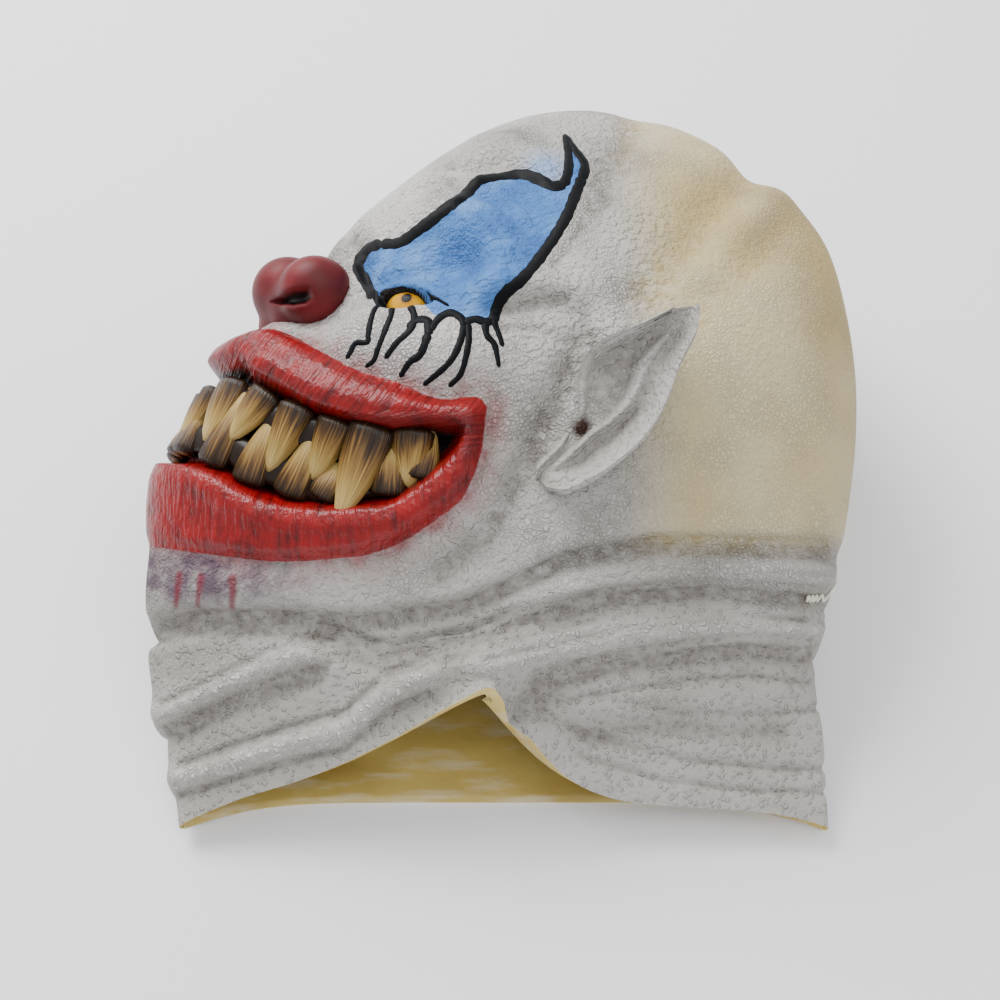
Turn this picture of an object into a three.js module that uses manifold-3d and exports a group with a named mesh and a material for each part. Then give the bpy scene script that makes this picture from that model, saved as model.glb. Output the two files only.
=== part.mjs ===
import * as THREE from 'three';
import Module from 'manifold-3d';

// Clown mask of thin latex, lying on its right side with the neck opening toward -Y.
// Millimetres, +Z up, the face looks toward -X and the crown points toward +Y.

const DEPTH = 315;        // front of the lower lip to the back of the head
const LENGTH = 349;       // neck edge to crown
const HEIGHT = 150;       // table to the upper cheek, as the mask lies
const WALL = 2.0;         // latex thickness
const GAP = 0.35;         // air between separate pieces
const FINENESS = 0.1;     // largest step left out of a surface
const SLANT = THREE.MathUtils.degToRad(55);   // tilt of the view that places the face features
const SLANT_HEIGHT = 0.43;   // height of the mask in that view, as a share of its length

// Rings of the head from the neck edge to the crown, in shares of the three sizes.
// The last column is the underside: below zero it is pressed flat on the table, and it lifts
// near the crown.
const RINGS = [
  // up, front, back, crest, fold, top, low
  [0.000, 0.054, 0.930, 0.470, 0.060, 0.130, -0.022],
  [0.048, 0.045, 0.930, 0.480, 0.095, 0.210, -0.022],
  [0.105, 0.026, 0.929, 0.500, 0.150, 0.340, -0.022],
  [0.170, 0.006, 0.920, 0.520, 0.230, 0.470, -0.022],
  [0.236, 0.000, 0.938, 0.540, 0.330, 0.620, -0.022],
  [0.310, 0.002, 0.961, 0.550, 0.410, 0.760, -0.022],
  [0.380, 0.000, 0.979, 0.560, 0.450, 0.870, -0.022],
  [0.450, 0.029, 0.993, 0.570, 0.480, 0.950, -0.022],
  [0.530, 0.072, 1.000, 0.580, 0.520, 1.000, -0.022],
  [0.610, 0.138, 0.992, 0.580, 0.600, 1.000, -0.022],
  [0.690, 0.220, 0.975, 0.580, 0.660, 0.990, -0.022],
  [0.760, 0.285, 0.948, 0.585, 0.650, 0.965, -0.018],
  [0.822, 0.332, 0.914, 0.590, 0.610, 0.925, -0.008],
  [0.874, 0.372, 0.872, 0.600, 0.570, 0.875, 0.010],
  [0.918, 0.414, 0.828, 0.605, 0.545, 0.815, 0.040],
  [0.955, 0.458, 0.780, 0.610, 0.530, 0.745, 0.090],
  [0.981, 0.512, 0.730, 0.615, 0.540, 0.670, 0.180],
  [0.996, 0.566, 0.678, 0.620, 0.545, 0.595, 0.360],
  [1.000, 0.620, 0.620, 0.620, 0.550, 0.550, 0.550],
];

// Roundness of the rings: toward the face, toward the back, upper half, lower half.
const ROUND = { front: 2.1, back: 2.2, upper: 2.0, lower: 3.4 };

// Lift and recess of the free neck edge, where the upper sheet bows up.
const ARCH = { at: 0.475, front: 0.20, back: 0.08, power: 1.4, lift: 50, reach: 0.26, recess: 29, band: 0.16 };
const EDGE = { upper: 6, lower: 16, reach: 0.12, middle: 0.49, half: 0.44 };

// Lines of the mouth in the slant view, [depth share, slant share], from the front to the corner.
const UPPER_LIP_TOP = [
  [-0.050, 0.580], [0.110, 0.615], [0.153, 0.634], [0.199, 0.621], [0.234, 0.602], [0.272, 0.584],
  [0.303, 0.568], [0.346, 0.557], [0.378, 0.544], [0.412, 0.534], [0.457, 0.537], [0.470, 0.525],
];
const UPPER_LIP_LOW = [
  [-0.050, 0.560], [0.124, 0.582], [0.149, 0.567], [0.193, 0.548], [0.237, 0.526], [0.288, 0.511],
  [0.348, 0.500], [0.391, 0.503], [0.425, 0.499], [0.436, 0.494],
];
const LOWER_LIP_TOP = [
  [-0.050, 0.470], [0.052, 0.463], [0.109, 0.449], [0.142, 0.434], [0.184, 0.418], [0.227, 0.412],
  [0.266, 0.410], [0.306, 0.412], [0.343, 0.416], [0.387, 0.442], [0.413, 0.463], [0.429, 0.480],
];
const LOWER_LIP_LOW = [
  [-0.050, 0.358], [0.068, 0.353], [0.133, 0.347], [0.196, 0.342], [0.272, 0.346], [0.319, 0.352],
  [0.363, 0.367], [0.402, 0.391], [0.436, 0.415], [0.454, 0.446], [0.464, 0.476],
];
const LIP = { bulge: 6, mouthDepth: 10, fade: 9 };

// Folds of the skin: height in mm (a groove is negative), half width in mm, line in the slant view.
const FOLDS = [
  { height: -6, width: 6, line: [[0.000, 0.250], [0.084, 0.270], [0.186, 0.270], [0.302, 0.263],
    [0.434, 0.282], [0.507, 0.309], [0.571, 0.337], [0.684, 0.356], [0.797, 0.354], [0.939, 0.349]] },
  { height: 3.5, width: 7, line: [[0.520, 0.292], [0.600, 0.322], [0.700, 0.334], [0.820, 0.330],
    [0.920, 0.325]] },
  { height: -6, width: 6, line: [[0.247, 0.251], [0.340, 0.229], [0.452, 0.253], [0.533, 0.276],
    [0.627, 0.296], [0.760, 0.305], [0.874, 0.296], [0.930, 0.290]] },
  { height: 4, width: 8, line: [[0.470, 0.225], [0.560, 0.243], [0.660, 0.262], [0.780, 0.268],
    [0.900, 0.262]] },
  { height: -4.5, width: 6, line: [[0.500, 0.150], [0.552, 0.198], [0.647, 0.217], [0.743, 0.229],
    [0.820, 0.234], [0.910, 0.224]] },
  { height: 4.5, width: 7, line: [[0.264, 0.240], [0.186, 0.222], [0.126, 0.194], [0.031, 0.152]] },
  { height: -4, width: 5, line: [[0.240, 0.205], [0.180, 0.185], [0.110, 0.160], [0.040, 0.125]] },
  { height: 5, width: 6, line: [[0.394, 0.212], [0.339, 0.188], [0.281, 0.141], [0.204, 0.122],
    [0.126, 0.098], [0.057, 0.075]] },
  { height: -3, width: 6, line: [[0.600, 0.130], [0.720, 0.140], [0.860, 0.130]] },
  { height: -5, width: 7, line: [[0.598, 0.605], [0.566, 0.542], [0.545, 0.508], [0.526, 0.461],
    [0.498, 0.421], [0.467, 0.370], [0.411, 0.334]] },
  { height: 8, width: 11, line: [[0.382, 0.765], [0.427, 0.768], [0.465, 0.747], [0.479, 0.714],
    [0.473, 0.680]] },
  { height: 3, width: 6, line: [[0.497, 0.665], [0.545, 0.675], [0.600, 0.668]] },
  { height: -3, width: 5, line: [[0.490, 0.648], [0.545, 0.655], [0.595, 0.640]] },
  { height: 3, width: 6, line: [[0.462, 0.895], [0.508, 0.880], [0.549, 0.839]] },
  { height: -3, width: 5, line: [[0.420, 0.850], [0.481, 0.850], [0.530, 0.828]] },
  { height: 3, width: 5, line: [[0.385, 0.830], [0.425, 0.832], [0.454, 0.820]] },
  { height: -4, width: 5, line: [[0.275, 0.760], [0.290, 0.735], [0.300, 0.690]] },
  { height: -6, width: 13, line: [[0.880, 0.870], [0.805, 0.794], [0.764, 0.744], [0.680, 0.670]] },
  { height: 4, width: 11, line: [[0.880, 0.815], [0.815, 0.745], [0.765, 0.698]] },
  { height: -5, width: 12, line: [[0.880, 0.770], [0.791, 0.689], [0.748, 0.650]] },
  { height: -4, width: 11, line: [[0.690, 0.930], [0.646, 0.859], [0.625, 0.810]] },
];

// Rounded swellings and hollows: height in mm, centre in the slant view, half sizes in mm, turn in degrees.
const SWELLS = [
  { height: -14, at: [0.215, 0.672], size: [32, 24], turn: 0 },
  { height: 8, at: [0.400, 0.592], size: [34, 15], turn: -14 },
  { height: -7, at: [0.437, 0.700], size: [14, 9], turn: 0 },
  { height: -6, at: [0.335, 0.668], size: [12, 9], turn: -20 },
  { height: 5, at: [0.300, 0.640], size: [14, 12], turn: 30 },
  { height: 5, at: [0.130, 0.310], size: [26, 12], turn: 0 },
  { height: -3, at: [0.500, 0.560], size: [18, 24], turn: 0 },
];

// Ear stations from the lobe to the tip: front edge, back edge (slant view), lift of each, hollow depth.
const EAR = [
  // frontDepth, frontSlant, backDepth, backSlant, frontLift, backLift, hollow
  [0.533, 0.446, 0.548, 0.430, -1.5, 3, 0],
  [0.537, 0.459, 0.573, 0.427, -1.5, 7, 0],
  [0.562, 0.482, 0.609, 0.443, -1.5, 10, 3],
  [0.583, 0.508, 0.643, 0.466, -1.5, 13, 7],
  [0.590, 0.524, 0.668, 0.487, 0, 16, 10],
  [0.588, 0.543, 0.688, 0.512, 2, 18, 12],
  [0.588, 0.562, 0.704, 0.544, 4, 20, 14],
  [0.595, 0.581, 0.713, 0.568, 7, 21, 15],
  [0.611, 0.597, 0.724, 0.588, 11, 22, 13],
  [0.636, 0.609, 0.736, 0.608, 15, 22, 10],
  [0.668, 0.620, 0.742, 0.627, 18, 22, 6],
  [0.705, 0.636, 0.742, 0.641, 20, 22, 2],
];
const EAR_THICK = 3;
const EAR_DENT = 4.4;    // dent of the underside, where the head lies on the pressed ear
const EAR_FLOOR = 0.8;   // the cup's middle above the skin, where it is one with the head

// Teeth of the left half, root and tip in the slant view, root and tip radius, lift of the tip.
const UPPER_TEETH = [
  // rootDepth, rootSlant, tipDepth, tipSlant, rootRadius, tipRadius, tipLift
  [0.080, 0.560, 0.040, 0.490, 5.5, 2.2, 2],
  [0.118, 0.568, 0.082, 0.490, 6.0, 2.2, 2],
  [0.171, 0.552, 0.120, 0.490, 6.0, 2.0, 2],
  [0.216, 0.533, 0.176, 0.450, 6.0, 2.0, 1],
  [0.270, 0.513, 0.237, 0.440, 6.2, 2.0, 1],
  [0.320, 0.506, 0.276, 0.388, 7.5, 1.2, 9],
  [0.372, 0.500, 0.366, 0.430, 6.5, 2.0, 1],
];
const LOWER_TEETH = [
  [0.040, 0.478, 0.070, 0.550, 5.0, 2.0, -1],
  [0.090, 0.460, 0.140, 0.560, 5.5, 2.0, -1],
  [0.145, 0.436, 0.178, 0.520, 5.5, 2.0, -2],
  [0.203, 0.420, 0.240, 0.492, 5.5, 1.8, -2],
  [0.250, 0.416, 0.276, 0.462, 5.0, 1.8, -3],
  [0.337, 0.420, 0.345, 0.490, 5.5, 2.0, -2],
  [0.380, 0.440, 0.396, 0.500, 5.0, 1.8, -2],
];
// Front teeth are shorter copies of the first tooth, at these shares of its turn. reach is their length.
const FRONT_TEETH = { upper: [-0.68, -0.34, 0, 0.34, 0.68], lower: [-0.51, -0.17, 0.17, 0.51], reach: 0.6 };
const TOOTH = { sides: 6, steps: 3, inset: 4.2, strip: 2.4, fineness: 0.2, upperRise: 0.006, lowerRise: 0.02 };

const EYE = { at: [0.365, 0.666], radius: 13, sunk: 11.6, wall: 2, pupil: 2.2 };
const EYE_SLIT = [[0.330, 0.660], [0.342, 0.678], [0.372, 0.679], [0.400, 0.664], [0.392, 0.651],
  [0.345, 0.652]];

// Nose: a ball in front and a wing on each side of it, the lower one pushed forward by the table.
const NOSE = {
  at: [0.1825, 0.684], height: 0.690, size: [17, 15, 19], wing: [16.5, 14.5, 18],
  wings: [
    // back, drop, side
    [14.5, 13.5, 16],
    [1, 8, -17],
  ],
};
const STITCH = { at: [0.930, 0.292], run: 12, rise: 2.6, radius: 0.75, turns: 3 };

const OUTER_RINGS = { neck: 9, face: 28, crown: 13 };
const INNER_RINGS = { neck: 6, face: 21, crown: 8 };
const LEAN = { turn: 1.4, shift: 0.05, at: 0.34, spread: 0.13 };
const COLUMNS = { face: 24, back: 10, underBack: 6, underFace: 12 };

const mix = (a, b, t) => a + (b - a) * t;
const clamp01 = (t) => Math.min(1, Math.max(0, t));
const smooth = (t) => clamp01(t) ** 2 * (3 - 2 * clamp01(t));

function ringAt(v) {
  const last = RINGS.length - 1;
  const t = clamp01(v) * last;
  const i = Math.min(Math.floor(t), last - 1);
  const f = t - i;
  const row = (k) => RINGS[Math.min(last, Math.max(0, k))];
  const [up, front, back, crest, fold, top, low] = RINGS[0].map((_, c) => {
    const p1 = row(i)[c];
    const p2 = row(i + 1)[c];
    const p0 = i > 0 ? row(i - 1)[c] : 2 * p1 - p2;
    const p3 = i < last - 1 ? row(i + 2)[c] : 2 * p2 - p1;
    return 0.5 * (2 * p1 + (p2 - p0) * f + (2 * p0 - 5 * p1 + 4 * p2 - p3) * f * f
      + (3 * p1 - p0 - 3 * p2 + p3) * f ** 3);
  });
  return { up, front, back, crest, fold, top, low };
}

// Point of the plain head form: turn 0 is the front, a quarter turn the upper cheek.
function plain(turn, v) {
  const ring = ringAt(v);
  const c = Math.cos(turn);
  const s = Math.sin(turn);
  const reach = c > 0 ? ring.crest - ring.front : ring.back - ring.crest;
  const bend = c > 0 ? ROUND.front : ROUND.back;
  const x = ring.crest - Math.sign(c) * reach * Math.abs(c) ** (2 / bend);
  const half = s > 0 ? ring.top - ring.fold : ring.fold - ring.low;
  const curve = s > 0 ? ROUND.upper : ROUND.lower;
  let z = (ring.fold + Math.sign(s) * half * Math.abs(s) ** (2 / curve)) * HEIGHT;
  const off = Math.min(1, Math.abs(x - EDGE.middle) / EDGE.half);
  const recess = s > 0 ? EDGE.upper : EDGE.lower;
  let y = (ring.up - 0.5) * LENGTH + recess * clamp01(1 - ring.up / EDGE.reach) * (1 - off ** 6);
  if (s > 0) {
    const near = Math.abs(x - ARCH.at) / (x < ARCH.at ? ARCH.front : ARCH.back);
    const bow = Math.exp(-(near ** ARCH.power)) * clamp01(s * 1.6);
    z += ARCH.lift * bow * clamp01(1 - ring.up / ARCH.reach) ** 1.6;
    y += ARCH.recess * bow * clamp01(1 - ring.up / ARCH.band);
  }
  return new THREE.Vector3((x - 0.5) * DEPTH, y, z);
}

function outward(turn, v) {
  const w = Math.min(Math.max(v, 0.004), 0.985);
  const e = 0.003;
  const across = plain(turn + e, w).sub(plain(turn - e, w));
  const along = plain(turn, w + e).sub(plain(turn, w - e));
  return across.cross(along).normalize();
}

// Slant view of a point in millimetres, measured from the neck edge and the front. The height
// counts as a share, so that the features keep their place on a head of another height.
function slantOf(p) {
  const tall = (p.z / HEIGHT) * SLANT_HEIGHT * LENGTH;
  const rise = (p.y + LENGTH / 2) * Math.sin(SLANT) + tall * Math.cos(SLANT);
  return [p.x + DEPTH / 2, rise];
}

const toMm = ([a, b]) => [a * DEPTH, b * LENGTH];

function segmentDistance([px, py], [ax, ay], [bx, by]) {
  const dx = bx - ax;
  const dy = by - ay;
  const t = clamp01(((px - ax) * dx + (py - ay) * dy) / (dx * dx + dy * dy));
  return Math.hypot(px - ax - dx * t, py - ay - dy * t);
}

function lineDistance(point, line) {
  let best = Infinity;
  for (let i = 1; i < line.length; i += 1) {
    best = Math.min(best, segmentDistance(point, line[i - 1], line[i]));
  }
  return best;
}

// Distance to a closed outline, positive inside it.
function inside([px, py], outline) {
  let within = false;
  for (let i = 0, j = outline.length - 1; i < outline.length; j = i, i += 1) {
    const [ax, ay] = outline[i];
    const [bx, by] = outline[j];
    if ((ay > py) !== (by > py) && px < ((bx - ax) * (py - ay)) / (by - ay) + ax) within = !within;
  }
  const far = lineDistance([px, py], [...outline, outline[0]]);
  return within ? far : -far;
}

const LIPS_MM = [...UPPER_LIP_TOP, ...[...LOWER_LIP_LOW].reverse()].map(toMm);
const MOUTH_MM = [...UPPER_LIP_LOW, ...[...LOWER_LIP_TOP].reverse()].map(toMm);
const FOLDS_MM = FOLDS.map((fold) => ({ ...fold, line: fold.line.map(toMm) }));
const EAR_MM = [...EAR.map((r) => [r[0], r[1]]), ...[...EAR].reverse().map((r) => [r[2], r[3]])].map(toMm);

// Height of the modelled skin above the plain form. ease is 1 where the skin is free and less
// where the table presses the folds flat.
function relief(point, ease = 1) {
  let h = 0;
  for (const { height, width, line } of FOLDS_MM) {
    h += height * Math.exp(-((lineDistance(point, line) / width) ** 2));
  }
  for (const { height, at, size, turn } of SWELLS) {
    const [cx, cy] = toMm(at);
    const angle = THREE.MathUtils.degToRad(turn);
    const dx = point[0] - cx;
    const dy = point[1] - cy;
    const u = (dx * Math.cos(angle) + dy * Math.sin(angle)) / size[0];
    const w = (dy * Math.cos(angle) - dx * Math.sin(angle)) / size[1];
    h += height * Math.exp(-(u * u + w * w));
  }
  h *= ease;
  const lips = inside(point, LIPS_MM);
  const mouth = inside(point, MOUTH_MM);
  const frontFade = mix(0.3, 1, smooth(point[0] / (0.16 * DEPTH)));
  if (lips > -3) {
    h = mix(h, h * 0.3, smooth((lips + 3) / 6));
    const roll = mouth > 0 ? 1 : smooth((lips + 2) / LIP.fade);
    h += LIP.bulge * frontFade * roll;
  }
  h -= (LIP.mouthDepth + LIP.bulge * frontFade) * smooth((mouth + 3) / 9);
  return h;
}

function easeAt(turn) {
  return mix(1, 0.3, smooth(-Math.sin(turn) / 0.7));
}

// Finished skin point. The underside mirrors the upper side and is flat where it meets the table.
function skin(turn, v, depth = 0) {
  const fade = smooth((1 - v) / 0.12);
  const mirrored = Math.sin(turn) < 0 ? -turn : turn;
  const spot = slantOf(plain(mirrored, v));
  const p = plain(turn, v).addScaledVector(outward(turn, v), relief(spot, easeAt(turn)) * fade - depth);
  let floor = depth;
  if (Math.sin(turn) < 0) floor += EAR_DENT * smooth((inside(spot, EAR_MM) + 14) / 8);
  p.z = Math.max(p.z, floor);
  return p;
}

function ringValues({ neck, face, crown }) {
  const list = [];
  for (let i = 0; i < neck; i += 1) list.push((0.19 * i) / neck);
  for (let i = 0; i < face; i += 1) list.push(0.19 + (0.38 * i) / face);
  for (let i = 0; i < crown; i += 1) list.push(0.57 + (0.43 * i) / crown);
  return list;
}

// Share along the rings of a grid corner. The rings lean so that they run along the mouth.
function leaning(turn, v) {
  const t = Math.abs(turn > Math.PI ? turn - 2 * Math.PI : turn);
  const lean = t < LEAN.turn ? 1 - 2 * smooth((t - 0.25) / (LEAN.turn - 0.25)) : smooth((t - LEAN.turn) / 1.5) - 1;
  return v + LEAN.shift * lean * Math.exp(-(((v - LEAN.at) / LEAN.spread) ** 2));
}

function columnTurns() {
  const turns = [];
  const spans = [
    [0, 92, COLUMNS.face], [92, 180, COLUMNS.back], [180, 268, COLUMNS.underBack],
    [268, 360, COLUMNS.underFace],
  ];
  for (const [from, to, count] of spans) {
    for (let i = 0; i < count; i += 1) turns.push(THREE.MathUtils.degToRad(mix(from, to, i / count)));
  }
  return turns;
}

const wasm = await Module();
wasm.setup();

// A closed body from corner points and triangles, turned so that its faces look outward.
function solid(points, triangles) {
  const build = (faces) => new wasm.Manifold(new wasm.Mesh({
    numProp: 3,
    vertProperties: new Float32Array(points.flatMap((p) => [p.x, p.y, p.z])),
    triVerts: new Uint32Array(faces.flat()),
  }));
  const body = build(triangles);
  return body.volume() < 0 ? build(triangles.map(([a, b, c]) => [a, c, b])) : body;
}

// Rows of points joined into strips. closed joins the last column to the first.
function strips(start, rows, columns, closed, flip) {
  const faces = [];
  const wide = closed ? columns : columns - 1;
  for (let i = 0; i + 1 < rows; i += 1) {
    for (let j = 0; j < wide; j += 1) {
      const a = start + i * columns + j;
      const b = start + i * columns + ((j + 1) % columns);
      const c = a + columns;
      const d = b + columns;
      faces.push(flip ? [a, d, b] : [a, b, d], flip ? [a, c, d] : [a, d, c]);
    }
  }
  return faces;
}

function fan(ringStart, count, tip, flip) {
  return Array.from({ length: count }, (_, j) => {
    const a = ringStart + j;
    const b = ringStart + ((j + 1) % count);
    return flip ? [a, tip, b] : [a, b, tip];
  });
}

// The lowest of the skin heights around a spot, so that the wall never gets thin under a steep fold.
function innerSkin(turn, v, grow) {
  const mirrored = Math.sin(turn) < 0 ? -turn : turn;
  const steps = [-0.075, 0, 0.075].flatMap((dt) => [-0.02, -0.01, 0, 0.01, 0.02].map((dv) => [dt, dv]));
  const ease = easeAt(turn);
  const heights = steps.map(([dt, dv]) => relief(slantOf(plain(mirrored + dt, clamp01(v + dv))), ease));
  const fade = smooth((1 - v) / 0.12);
  const low = Math.min(...heights) * fade - WALL * 1.1 - grow;
  const p = plain(turn, v).addScaledVector(outward(turn, v), low);
  let floor = WALL * 1.05 + grow;
  if (Math.sin(turn) < 0) {
    floor += EAR_DENT * smooth((inside(slantOf(plain(mirrored, v)), EAR_MM) + 18) / 8);
  }
  p.z = Math.max(p.z, floor);
  return p;
}

// The hollow head, thickened on both faces by a clearance where one is asked for.
function headShell(grow = 0) {
  const turns = columnTurns();
  const outer = ringValues(OUTER_RINGS);
  const inner = ringValues(INNER_RINGS);
  const points = outer.flatMap((v) => turns.map((t) => skin(t, leaning(t, v), -grow)));
  points.push(skin(0, 1, -grow));
  const innerStart = points.length;
  points.push(...inner.flatMap((v) => turns.map((t) => innerSkin(t, leaning(t, v), grow))));
  points.push(innerSkin(0, 1, grow));
  const n = turns.length;
  const rim = turns.map((_, j) => {
    const b = (j + 1) % n;
    return [[j, innerStart + b, b], [j, innerStart + j, innerStart + b]];
  }).flat();
  return solid(points, [
    ...strips(0, outer.length, n, true, false),
    ...fan((outer.length - 1) * n, n, innerStart - 1, false),
    ...strips(innerStart, inner.length, n, true, true),
    ...fan(innerStart + (inner.length - 1) * n, n, points.length - 1, true),
    ...rim,
  ]);
}

// The head as a filled body, grown by a clearance.
function headFilled(grow) {
  const turns = columnTurns();
  const outer = ringValues(OUTER_RINGS);
  const points = outer.flatMap((v) => turns.map((t) => skin(t, leaning(t, v), -grow)));
  points.push(skin(0, 1, -grow));
  points.push(new THREE.Vector3(0, -LENGTH / 2, HEIGHT * 0.08));
  const n = turns.length;
  return solid(points, [
    ...strips(0, outer.length, n, true, false),
    ...fan((outer.length - 1) * n, n, points.length - 2, false),
    ...fan(0, n, points.length - 1, true),
  ]);
}

// Turn and ring share of the plain form under a spot of the slant view, on the upper side.
function locate([a, b]) {
  const goal = toMm([a, b]);
  let best = { turn: 1, v: 0.4, far: Infinity };
  const scan = (turn0, v0, dTurn, dV, steps) => {
    for (let i = -steps; i <= steps; i += 1) {
      for (let j = -steps; j <= steps; j += 1) {
        const turn = Math.min(Math.PI, Math.max(0, turn0 + (dTurn * i) / steps));
        const v = clamp01(v0 + (dV * j) / steps);
        const [x, y] = slantOf(plain(turn, v));
        const far = Math.hypot(x - goal[0], y - goal[1]);
        if (far < best.far) best = { turn, v, far };
      }
    }
  };
  scan(Math.PI / 2, 0.36, Math.PI / 2, 0.34, 24);
  for (let span = 0.12; span > 0.001; span /= 2.5) scan(best.turn, best.v, span, span / 2, 5);
  return best;
}

// A point above the upper side that shows at a spot of the slant view.
function lifted(spot, lift) {
  let guess = spot;
  let p = new THREE.Vector3();
  for (let k = 0; k < 3; k += 1) {
    const { turn, v } = locate(guess);
    p = plain(turn, v).addScaledVector(outward(turn, v), lift);
    const [x, y] = slantOf(p);
    guess = [guess[0] + spot[0] - x / DEPTH, guess[1] + spot[1] - y / LENGTH];
  }
  return p;
}

function earSolid(under) {
  const across = [0, 0.16, 0.5, 0.84, 1];
  const top = [];
  const bottom = [];
  for (const [fd, fs, bd, bs, fl, bl, hollow] of EAR) {
    for (const t of across) {
      const spot = [mix(fd, bd, t), mix(fs, bs, t)];
      if (under) {
        const { turn, v } = locate(spot);
        const p = plain(turn, v);
        top.push(new THREE.Vector3(p.x, p.y, EAR_DENT + WALL / 2));
        bottom.push(new THREE.Vector3(p.x, p.y, 0));
      } else {
        const floor = relief(toMm(spot)) + mix(-1.5, EAR_FLOOR, Math.sin(Math.PI * t));
        const lift = Math.max(mix(fl, bl, t) - hollow * Math.sin(Math.PI * t) ** 0.8, floor);
        const p = lifted(spot, lift);
        top.push(p);
        bottom.push(p.clone().add(new THREE.Vector3(0, 0, -EAR_THICK)));
      }
    }
  }
  const rows = EAR.length;
  const n = across.length;
  const at = (i, j) => i * n + j;
  const border = [];
  for (let j = 0; j < n; j += 1) border.push(at(0, j));
  for (let i = 1; i < rows; i += 1) border.push(at(i, n - 1));
  for (let j = n - 2; j >= 0; j -= 1) border.push(at(rows - 1, j));
  for (let i = rows - 2; i > 0; i -= 1) border.push(at(i, 0));
  const base = top.length;
  const sides = border.flatMap((a, k) => {
    const b = border[(k + 1) % border.length];
    return [[a, base + b, b], [a, base + a, base + b]];
  });
  return solid([...top, ...bottom], [
    ...strips(0, rows, n, false, false),
    ...strips(base, rows, n, false, true),
    ...sides,
  ]);
}

// A run of rings around a centre line.
function tube(centres, radii, sides, normals) {
  const points = [];
  centres.forEach((c, i) => {
    const ahead = centres[Math.min(i + 1, centres.length - 1)];
    const behind = centres[Math.max(i - 1, 0)];
    const run = ahead.clone().sub(behind).normalize();
    const side = new THREE.Vector3().crossVectors(run, normals[i]).normalize();
    const lift = new THREE.Vector3().crossVectors(side, run).normalize();
    for (let k = 0; k < sides; k += 1) {
      const angle = (2 * Math.PI * k) / sides;
      points.push(c.clone().addScaledVector(side, radii[i] * Math.cos(angle))
        .addScaledVector(lift, radii[i] * Math.sin(angle)));
    }
  });
  const first = points.length;
  points.push(centres[0].clone(), centres[centres.length - 1].clone());
  return solid(points, [
    ...strips(0, centres.length, sides, true, true),
    ...fan(0, sides, first, false),
    ...fan((centres.length - 1) * sides, sides, first + 1, true),
  ]);
}

function under(turn, v) {
  return { turn: -turn, v };
}

// Centre of a tooth or strip: a place on the plain form, sunk below it.
function sunk({ turn, v }, depth) {
  return plain(turn, v).addScaledVector(outward(turn, v), -depth);
}

// One tooth. side is 1 on the left half, -1 on the right half and a share between them in front.
function toothSolid([rd, rs, td, ts, rootRadius, tipRadius, tipLift], side, rise, grow = 0) {
  const centres = [];
  const normals = [];
  const radii = [];
  for (let i = 0; i <= TOOTH.steps; i += 1) {
    const t = i / TOOTH.steps;
    const along = t * mix(FRONT_TEETH.reach, 1, side * side);
    const spot = locate([mix(rd, td, along), mix(rs, ts, along)]);
    const place = { turn: spot.turn * side, v: spot.v + rise * (1 - side * side) };
    centres.push(sunk(place, TOOTH.inset - tipLift * t * t));
    normals.push(outward(place.turn, place.v));
    radii.push(mix(rootRadius, tipRadius, t ** 1.5) + grow);
  }
  return tube(centres, radii, TOOTH.sides, normals);
}

function gumStrip(rows, rise, grow = 0) {
  const spots = rows.map(([rd, rs, td, ts]) => locate([mix(rd, td, 0.3), mix(rs, ts, 0.3)]));
  const front = spots[0];
  const path = [
    ...[...spots].reverse(),
    { turn: front.turn * 0.5, v: front.v + rise * 0.7 },
    { turn: 0, v: front.v + rise },
    { turn: -front.turn * 0.5, v: front.v + rise * 0.7 },
    ...spots.map(({ turn, v }) => under(turn, v)),
  ];
  const centres = path.map((place) => sunk(place, TOOTH.inset + 0.8));
  const normals = path.map(({ turn, v }) => outward(turn, v));
  return tube(centres, path.map(() => TOOTH.strip + grow), 6, normals);
}

function largest(body) {
  const parts = body.decompose();
  return parts.reduce((a, b) => (b.volume() > a.volume() ? b : a));
}

function toGeometry(mesh) {
  const geometry = new THREE.BufferGeometry();
  geometry.setAttribute('position', new THREE.BufferAttribute(new Float32Array(mesh.vertProperties), 3));
  geometry.setIndex(new THREE.BufferAttribute(new Uint32Array(mesh.triVerts), 1));
  return geometry;
}

// Turns a body's +Z toward a direction and moves it to a place.
function stand(body, place, direction) {
  const q = new THREE.Quaternion().setFromUnitVectors(new THREE.Vector3(0, 0, 1), direction);
  const matrix = new THREE.Matrix4().compose(place, q, new THREE.Vector3(1, 1, 1));
  return body.transform(matrix.elements);
}

function slitSolid(mirror, shrink) {
  const centre = toMm(EYE.at);
  const top = [];
  const bottom = [];
  for (const spot of EYE_SLIT) {
    const [x, y] = toMm(spot);
    const far = Math.hypot(x - centre[0], y - centre[1]);
    const k = (far - shrink) / far;
    let place = locate([(centre[0] + (x - centre[0]) * k) / DEPTH, (centre[1] + (y - centre[1]) * k) / LENGTH]);
    if (mirror) place = under(place.turn, place.v);
    top.push(sunk(place, -8));
    bottom.push(sunk(place, 22));
  }
  const n = top.length;
  const sides = top.flatMap((_, k) => {
    const b = (k + 1) % n;
    return [[k, n + b, b], [k, n + k, n + b]];
  });
  const lids = Array.from({ length: n - 2 }, (_, k) => [[0, k + 1, k + 2], [n, n + k + 2, n + k + 1]]).flat();
  const body = solid([...top, ...bottom], [...lids, ...sides]);
  return body;
}

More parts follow.
